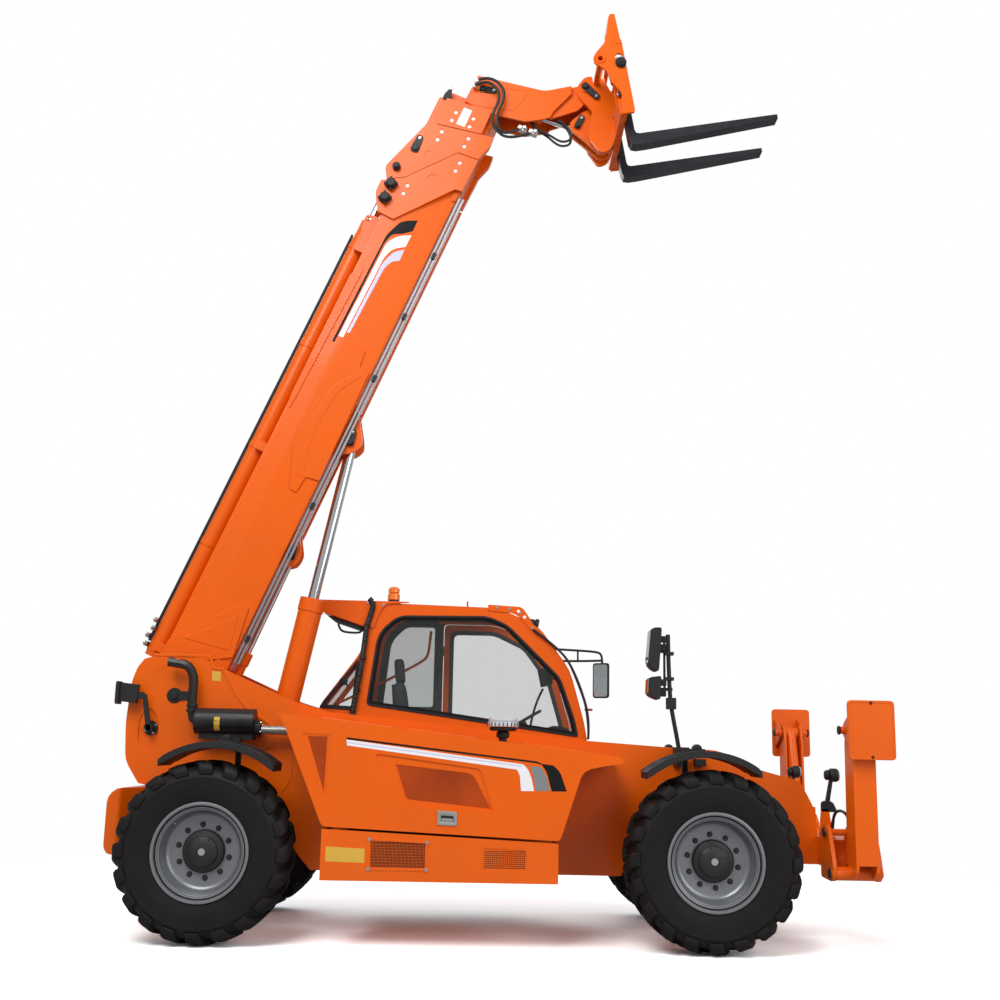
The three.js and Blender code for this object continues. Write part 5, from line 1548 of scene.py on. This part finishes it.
makePiece("cabControls", "chassis", blackPlastic, instruments, bevel=.006)
makePiece("rearKnob", "chassis", blackPlastic,
          lambda bm: [discMesh(bm, "y", .812, 1.957, .036, .372, .390, 24, chamfer=.006),
                      prismMesh(bm, [(.80, 1.97), (.825, 1.965), (.862, 1.915), (.850, 1.905)], "y", .362, .374)],
          bevel=.002)

# cushions with rounded crowns, sewn channels and sides that pull in between their corners
pad = {"cuts": 14, "squareness": 5.0, "channelAt": .5, "channelWidth": .035, "channelDepth": .55, "pullIn": .025}


def padMesh(size, crown):
    # a closed pad: a cube pressed into a rounded box, fuller in the middle of its broad faces
    bm = bmesh.new()
    bmesh.ops.create_cube(bm, size=2)
    bmesh.ops.subdivide_edges(bm, edges=bm.edges[:], cuts=pad["cuts"], use_grid_fill=True)
    power = pad["squareness"]
    for vertex in bm.verts:
        p = vertex.co
        norm = (abs(p.x) ** power + abs(p.y) ** power + abs(p.z) ** power) ** (1 / power)
        p = p / max(norm, 1e-6)
        u, v = p.x, p.y
        full = (1 - abs(u) ** 2.4) * (1 - abs(v) ** 2.4)
        groove = math.exp(-((abs(u) - pad["channelAt"]) / pad["channelWidth"]) ** 2)
        channel = pad["channelDepth"] * groove if abs(p.z) > .7 else 0
        height = p.z * size[2] / 2 + math.copysign(crown * max(full, 0) * (1 - channel), p.z) * abs(p.z)
        pull = 1 - pad["pullIn"] * (1 - abs(u) ** 2) * (1 - abs(v) ** 2)
        vertex.co = Vector((p.x * size[0] / 2 * pull, p.y * size[1] / 2 * pull, height))
    return bm


def makePad(name, size, crown, centre, tilt, replaces=()):
    mesh = meshFrom(padMesh(size, crown), name)
    mesh.transform(Matrix.Translation(origin + Vector(centre)) @ Matrix.Rotation(tilt, 4, "Y"))
    thing = addObject(name, mesh, seatCloth)
    modifier = thing.modifiers.new("smooth", "SUBSURF")
    modifier.levels = modifier.render_levels = 1
    bake(thing)
    smooth(thing.data, 60)
    settle(thing, "chassis")
    if replaces:
        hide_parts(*replaces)
    return thing


makePad("seatCushion", (.50, .48, .11), .020, (1.665, .81, 1.295), math.radians(-2), ["seat"])
makePad("seatBack", (.11, .48, .64), .0, (1.315, .81, 1.655), math.radians(-8))
makePad("seatHeadrest", (.085, .25, .22), .0, (1.272, .81, 2.075), math.radians(-6))


def seatFrame(bm):
    prismMesh(bm, [(1.42, .985), (1.42, 1.15, .02), (1.82, 1.15, .02), (1.82, .985)], "y", .64, .98)
    prismMesh(bm, [(1.40, 1.15, .02), (1.38, 1.238, .02), (1.88, 1.238, .02), (1.86, 1.15, .02)], "y", .60, 1.02)
    prismMesh(bm, [(1.275, 1.26, .02), (1.215, 1.95, .02), (1.245, 1.95, .02), (1.33, 1.26, .02)], "y", .62, 1.00)
    for y in (.77, .85):
        discMesh(bm, "z", 1.262, y, .007, 1.93, 2.02, 12)
    boxMesh(bm, 1.28, 1.62, 1.055, 1.105, 1.47, 1.51)


makePiece("seatFrame", "chassis", blackPlastic, seatFrame, bevel=.006)

# roof: beacon, extension lamp, lamp bracket and conduit
makePiece("beaconBase", "chassis", blackPlastic,
          lambda bm: [discMesh(bm, "z", 1.215, .50, .064, 2.640, 2.678, 32, chamfer=.006),
                      discMesh(bm, "z", 1.215, .50, .050, 2.676, 2.690, 32, chamfer=.002)])
makePiece("beaconLens", "chassis", amberLens,
          lambda bm: [discMesh(bm, "z", 1.215, .50, .054, 2.688, 2.745, 40, chamfer=.004),
                      discMesh(bm, "z", 1.215, .50, .050, 2.744, 2.805, 40, chamfer=.014)])


def roofExtras(bm):
    # black lamp under the roof's tail, with its bow
    prismMesh(bm, [(.645, 2.526, .01), (.70, 2.485, .02), (.94, 2.410, .02), (.955, 2.440, .01),
                   (.72, 2.530, .01)], "y", .40, .62)
    discMesh(bm, "z", 2.20, .55, .012, 2.60, 2.66, 12)


makePiece("roofTailLamp", "chassis", blackPlastic, roofExtras, bevel=.005)
tube("roofTailBow", "chassis", [(.74, .42, 2.46), (.76, .39, 2.40), (.80, .385, 2.385), (.93, .385, 2.378),
                                (.955, .39, 2.395), (.95, .42, 2.43)], .010, blackPlastic)
makePiece("roofTailPlate", "chassis", orangePaint,
          lambda bm: prismMesh(bm, [(.553, 2.668, .01), (.60, 2.560, .01), (1.02, 2.425, .03), (1.06, 2.43, .02),
                                    (1.10, 2.56, .05), (1.16, 2.640, .03), (1.364, 2.655, .01),
                                    (1.364, 2.664, .01)], "y", .368, .3852), bevel=.004)
bolts("roofTailBolts", "chassis", [(1.135, .368, 2.632), (1.000, .368, 2.650), (.60, .368, 2.645)], "-y", .011,
      zincPlate)


def roofBracket(bm):
    for y0, y1 in ((.376, .388), (1.197, 1.209)):
        prismMesh(bm, [(2.060, 2.655, .01), (2.362, 2.640, .04), (2.420, 2.560, .03), (2.500, 2.420, .02),
                       (2.440, 2.440, .02), (2.330, 2.560, .04), (2.270, 2.585, .02), (2.060, 2.600, .01)], "y",
                  y0, y1)
    prismMesh(bm, [(2.30, 2.640, .01), (2.372, 2.634, .01), (2.372, 2.622, .01), (2.30, 2.628, .01)], "y",
              .385, 1.20)


makePiece("roofLampBracket", "chassis", orangePaint, roofBracket, bevel=.003, cuts=[
    lambda bm: [discMesh(bm, "y", x, z, .014, .3, .5, 16) for x, z in ((2.330, 2.602), (2.385, 2.552))]])
bolts("roofBracketBolts", "chassis", [(2.14, .376, 2.628), (2.25, .376, 2.620), (2.345, .376, 2.585),
                                      (2.455, .376, 2.455)], "-y", .010, zincPlate)


def roofLampPlace(y):
    return Matrix.Translation((2.468, y, 2.498)) @ Matrix.Rotation(math.radians(100), 4, "Y")


def roofLamps(bm):
    for y in (.44, 1.14):
        turned(bm, lambda part: [discMesh(part, "z", 0, 0, .040, -.055, .015, 32, chamfer=.012),
                                 discMesh(part, "z", 0, 0, .048, .010, .045, 32, inner=.040, chamfer=.003),
                                 discMesh(part, "z", 0, 0, .030, -.080, -.050, 24, chamfer=.008)],
               roofLampPlace(y))
        boxMesh(bm, 2.42, 2.45, y - .03, y - .015, 2.45, 2.53)


makePiece("roofWorkLamps", "chassis", blackPlastic, roofLamps)
makePiece("roofWorkLenses", "chassis", clearLens,
          lambda bm: [bmesh.ops.create_cone(bm, cap_ends=True, segments=32, radius1=.039, radius2=.036, depth=.012,
                                            matrix=roofLampPlace(y)) for y in (.44, 1.14)])
conduitLine = [(1.017, .350, 2.676), (1.040, .350, 2.655), (1.046, .350, 2.62), (1.025, .350, 2.53),
               (.997, .350, 2.445), (.985, .350, 2.30), (.970, .350, 2.151), (.950, .350, 2.0), (.924, .350, 1.84),
               (.905, .350, 1.696), (.895, .350, 1.62)]
corrugated("cabConduit", "chassis", conduitLine, .021, hoseRubber, pitch=.018, rise=1.18, sides=14)
makePiece("conduitClips", "chassis", blackPlastic,
          lambda bm: [boxMesh(bm, x - .03, x + .03, .345, .3855, z - .012, z + .012)
                      for x, z in ((1.000, 2.44), (.972, 2.16), (.932, 1.88))], bevel=.003)
for k, y in enumerate((.375, .362)):
    tube(f"frontPillarHose{k}", "chassis", [(2.470 - .01 * k, y, 2.44), (2.560, y, 2.375), (2.700, y, 2.262),
                                            (2.785, y, 2.165), (2.862 + .008 * k, y, 1.98), (2.925, y, 1.82),
                                            (2.945 + .01 * k, y, 1.70), (2.958, y, 1.56), (2.952, y, 1.50)], .010,
         hoseRubber)


def tabs(bm):
    boxMesh(bm, 1.870, 1.884, .46, .50, 2.620, 2.690)
    boxMesh(bm, 2.92, 2.99, .375, .388, 1.745, 1.765)


makePiece("roofTabs", "chassis", redLens, tabs, bevel=.003)

# the left mirror on its loop
for k, path in enumerate((
    [(2.585, 1.205, 2.352), (2.64, 1.235, 2.345), (2.70, 1.26, 2.340), (3.10, 1.285, 2.330), (3.150, 1.290, 2.310),
     (3.158, 1.290, 2.26), (3.158, 1.29, 2.19)],
    [(2.665, 1.205, 2.235), (2.72, 1.24, 2.232), (2.78, 1.26, 2.228), (3.10, 1.285, 2.240), (3.150, 1.29, 2.245)],
)):
    tube(f"mirrorLoop{k}", "chassis", path, .011, blackPlastic)
tube("mirrorLoopBar", "chassis", [(2.924, 1.275, 2.334), (2.924, 1.272, 2.232)], .009, blackPlastic, False)
mirrorTurn = Matrix.Translation((3.145, 1.27, 2.055)) @ Matrix.Rotation(math.radians(58), 4, "Z")


def mirrorShell(bm):
    corners = [(-.085, -.165, .03), (-.085, .165, .03), (.085, .165, .03), (.085, -.165, .03)]
    prismMesh(bm, corners, "x", -.012, .014)
    prismMesh(bm, [(y * .8, z * .85, r) for y, z, r in corners], "x", .010, .032)


makePiece("leftMirrorShell", "chassis", blackPlastic, lambda bm: turned(bm, mirrorShell, mirrorTurn), bevel=.008,
          replaces=["left_mirror"])
makePiece("leftMirrorFace", "chassis", mirrorFace,
          lambda bm: turned(bm, lambda part: prismMesh(part, [(-.072, -.150, .025), (-.072, .150, .025),
                                                              (.072, .150, .025), (.072, -.150, .025)], "x",
                                                       -.0135, -.0115), mirrorTurn))
makePiece("rightMirrorFaces", "chassis", mirrorFace,
          lambda bm: [prismMesh(bm, corners, "y", -.632, -.468) for corners in (
              [(3.3405, 2.105), (3.3635, 2.365), (3.3665, 2.365), (3.3435, 2.105)],
              [(3.3405, 1.865), (3.3450, 1.975), (3.3480, 1.975), (3.3435, 1.865)])])


def mirrorJoints(bm):
    for x, z in ((3.480, 2.30), (3.480, 2.235), (3.478, 1.955), (3.475, 1.87)):
        boxMesh(bm, x - .025, x + .022, -.572, -.528, z - .026, z + .026)
    for z in (2.186, 1.985, 1.795):
        boxMesh(bm, 3.485 if z > 1.9 else 3.50, 3.560, -.575, -.525, z - .014, z + .014)
    boxMesh(bm, 3.500, 3.575, -.585, -.515, 1.745, 1.835)
    discMesh(bm, "z", 3.486, -.55, .010, 1.87, 2.32, 12)
    boxMesh(bm, 3.575, 3.66, -.585, -.376, 1.30, 1.45)
    boxMesh(bm, 3.74, 3.83, -.46, -.376, 1.305, 1.36)


makePiece("mirrorJoints", "chassis", blackPlastic, mirrorJoints, bevel=.005)
print("cab dressed")


# front end: headlamps, pads and hoses
def headlamps(bm):
    for side in (-1, 1):
        y = side * .60
        part = lambda bm2: [discMesh(bm2, "x", 0, 0, .052, -.02, .05, 36, chamfer=.010),
                            discMesh(bm2, "x", 0, 0, .040, -.055, -.018, 28, chamfer=.012)]
        turned(bm, part, Matrix.Translation((4.79, y, 1.258)))
        prismMesh(bm, [(4.735, 1.05, .01), (4.765, 1.04, .01), (4.800, 1.235, .01), (4.775, 1.24, .01)], "y",
                  y - .018, y + .018)
        prismMesh(bm, [(4.70, .975, .01), (4.70, 1.06, .03), (4.79, 1.06, .03), (4.83, .975, .02)], "y", y - .012,
                  y + .012)


makePiece("headlampPosts", "chassis", blackPlastic, headlamps, bevel=.003)
makePiece("headlampLenses", "chassis", clearLens,
          lambda bm: [discMesh(bm, "x", side * .60, 1.258, .045, 4.838, 4.846, 32, chamfer=.003)
                      for side in (-1, 1)])


def headlampStands(bm):
    for side in (-1, 1):
        boxMesh(bm, 4.66, 4.80, *span(side, .55, .65), .775, .79)
        prismMesh(bm, [(4.68, .785), (4.70, 1.00, .02), (4.76, 1.00, .02), (4.79, .785)], "y",
                  *span(side, .590, .612))


makePiece("headlampStands", "chassis", orangePaint, headlampStands, bevel=.003)
for side, name in ((-1, "Right"), (1, "Left")):
    body = "stabiliser_foot_" + name.lower()
    leg = "stabiliser_leg_" + name.lower()
    near, far = span(side, 1.2395, 1.2435)
    makePiece("footRim" + name, body, orangePaint,
              lambda bm: prismMesh(bm, [(4.752, 1.387, .03), (5.098, 1.387, .03), (5.098, 1.818, .03),
                                        (4.752, 1.818, .03)], "y", near, far), bevel=.003,
              cuts=[lambda bm: prismMesh(bm, [(4.768, 1.403, .02), (5.082, 1.403, .02), (5.082, 1.802, .02),
                                              (4.768, 1.802, .02)], "y", near - .02, far + .02)])
    # black discs where the rim is notched: painted shade of the notches
    makePiece("footNotches" + name, body, blackPlastic,
              lambda bm: [discMesh(bm, "y", 4.925, z, .012, near, far, 16) for z in (1.800, 1.405)])
    makePiece("legPinHeads" + name, leg, castBlack,
              lambda bm: [discMesh(bm, "x", side * 1.06, 1.60, .034, 4.722, 4.738, 24, chamfer=.004),
                          discMesh(bm, "x", side * 1.06, 1.60, .034, 5.030, 5.046, 24, chamfer=.004)])
    makePiece("beamPinHeads" + name, "chassis", castBlack,
              lambda bm: [discMesh(bm, "x", side * y, z, .036, x0, x0 + .012, 24, chamfer=.003)
                          for y, z in ((.99, .55), (.86, .84)) for x0 in (4.640, 5.010)])
    for k in range(2):
        tube(f"stabiliserHose{name}{k}", "chassis",
             [(4.74, side * (.70 + .03 * k), .775), (4.752, side * (.72 + .03 * k), .90),
              (4.755 - .02 * k, side * (.78 + .03 * k), .99), (4.80, side * (.84 + .02 * k), 1.01),
              (4.845, side * (.86 + .02 * k), .95), (4.86, side * (.83 + .02 * k), .86)], .011, hoseRubber)

# mudguards: ribs on top and a clamp on the post
guardRibs = {"rows": (.815, .99, 1.165), "width": .030, "rise": .006}
for corner, (x, side) in wheels.items():
    xs = [v.co.x for v in frame["nodes"]["knuckle_" + corner].data.vertices]
    middle = x + (.06 if (max(xs) - origin.x - x) > -(min(xs) - origin.x - x) else -.06)
    top = (middle, .72)
    start, end = (50.0, 124.5) if middle > x else (55.5, 130.0)

    def ribs(bm):
        for row in guardRibs["rows"]:
            y0, y1 = span(side, row - guardRibs["width"] / 2, row + guardRibs["width"] / 2)
            arcBand(bm, top, .699, .700 + guardRibs["rise"], start + 2, end - 2, y0, y1)
        for y in (.795, 1.19):
            y0, y1 = span(side, y - .004, y + .004)
            arcBand(bm, top, .655, .703, start + .6, end - .6, y0, y1)

    makePiece("guardRibs_" + corner, "knuckle_" + corner, blackPlastic, ribs, bevel=.002, segments=1)
    makePiece("guardClamp_" + corner, "knuckle_" + corner, blackPlastic,
              lambda bm: [boxMesh(bm, middle - .06, middle + .06, *span(side, .715, .79), 1.395, 1.440),
                          discMesh(bm, "y", middle, 1.44, .035, *span(side, .70, .795), 24, chamfer=.006)],
              bevel=.004)
print("front end and mudguards dressed")
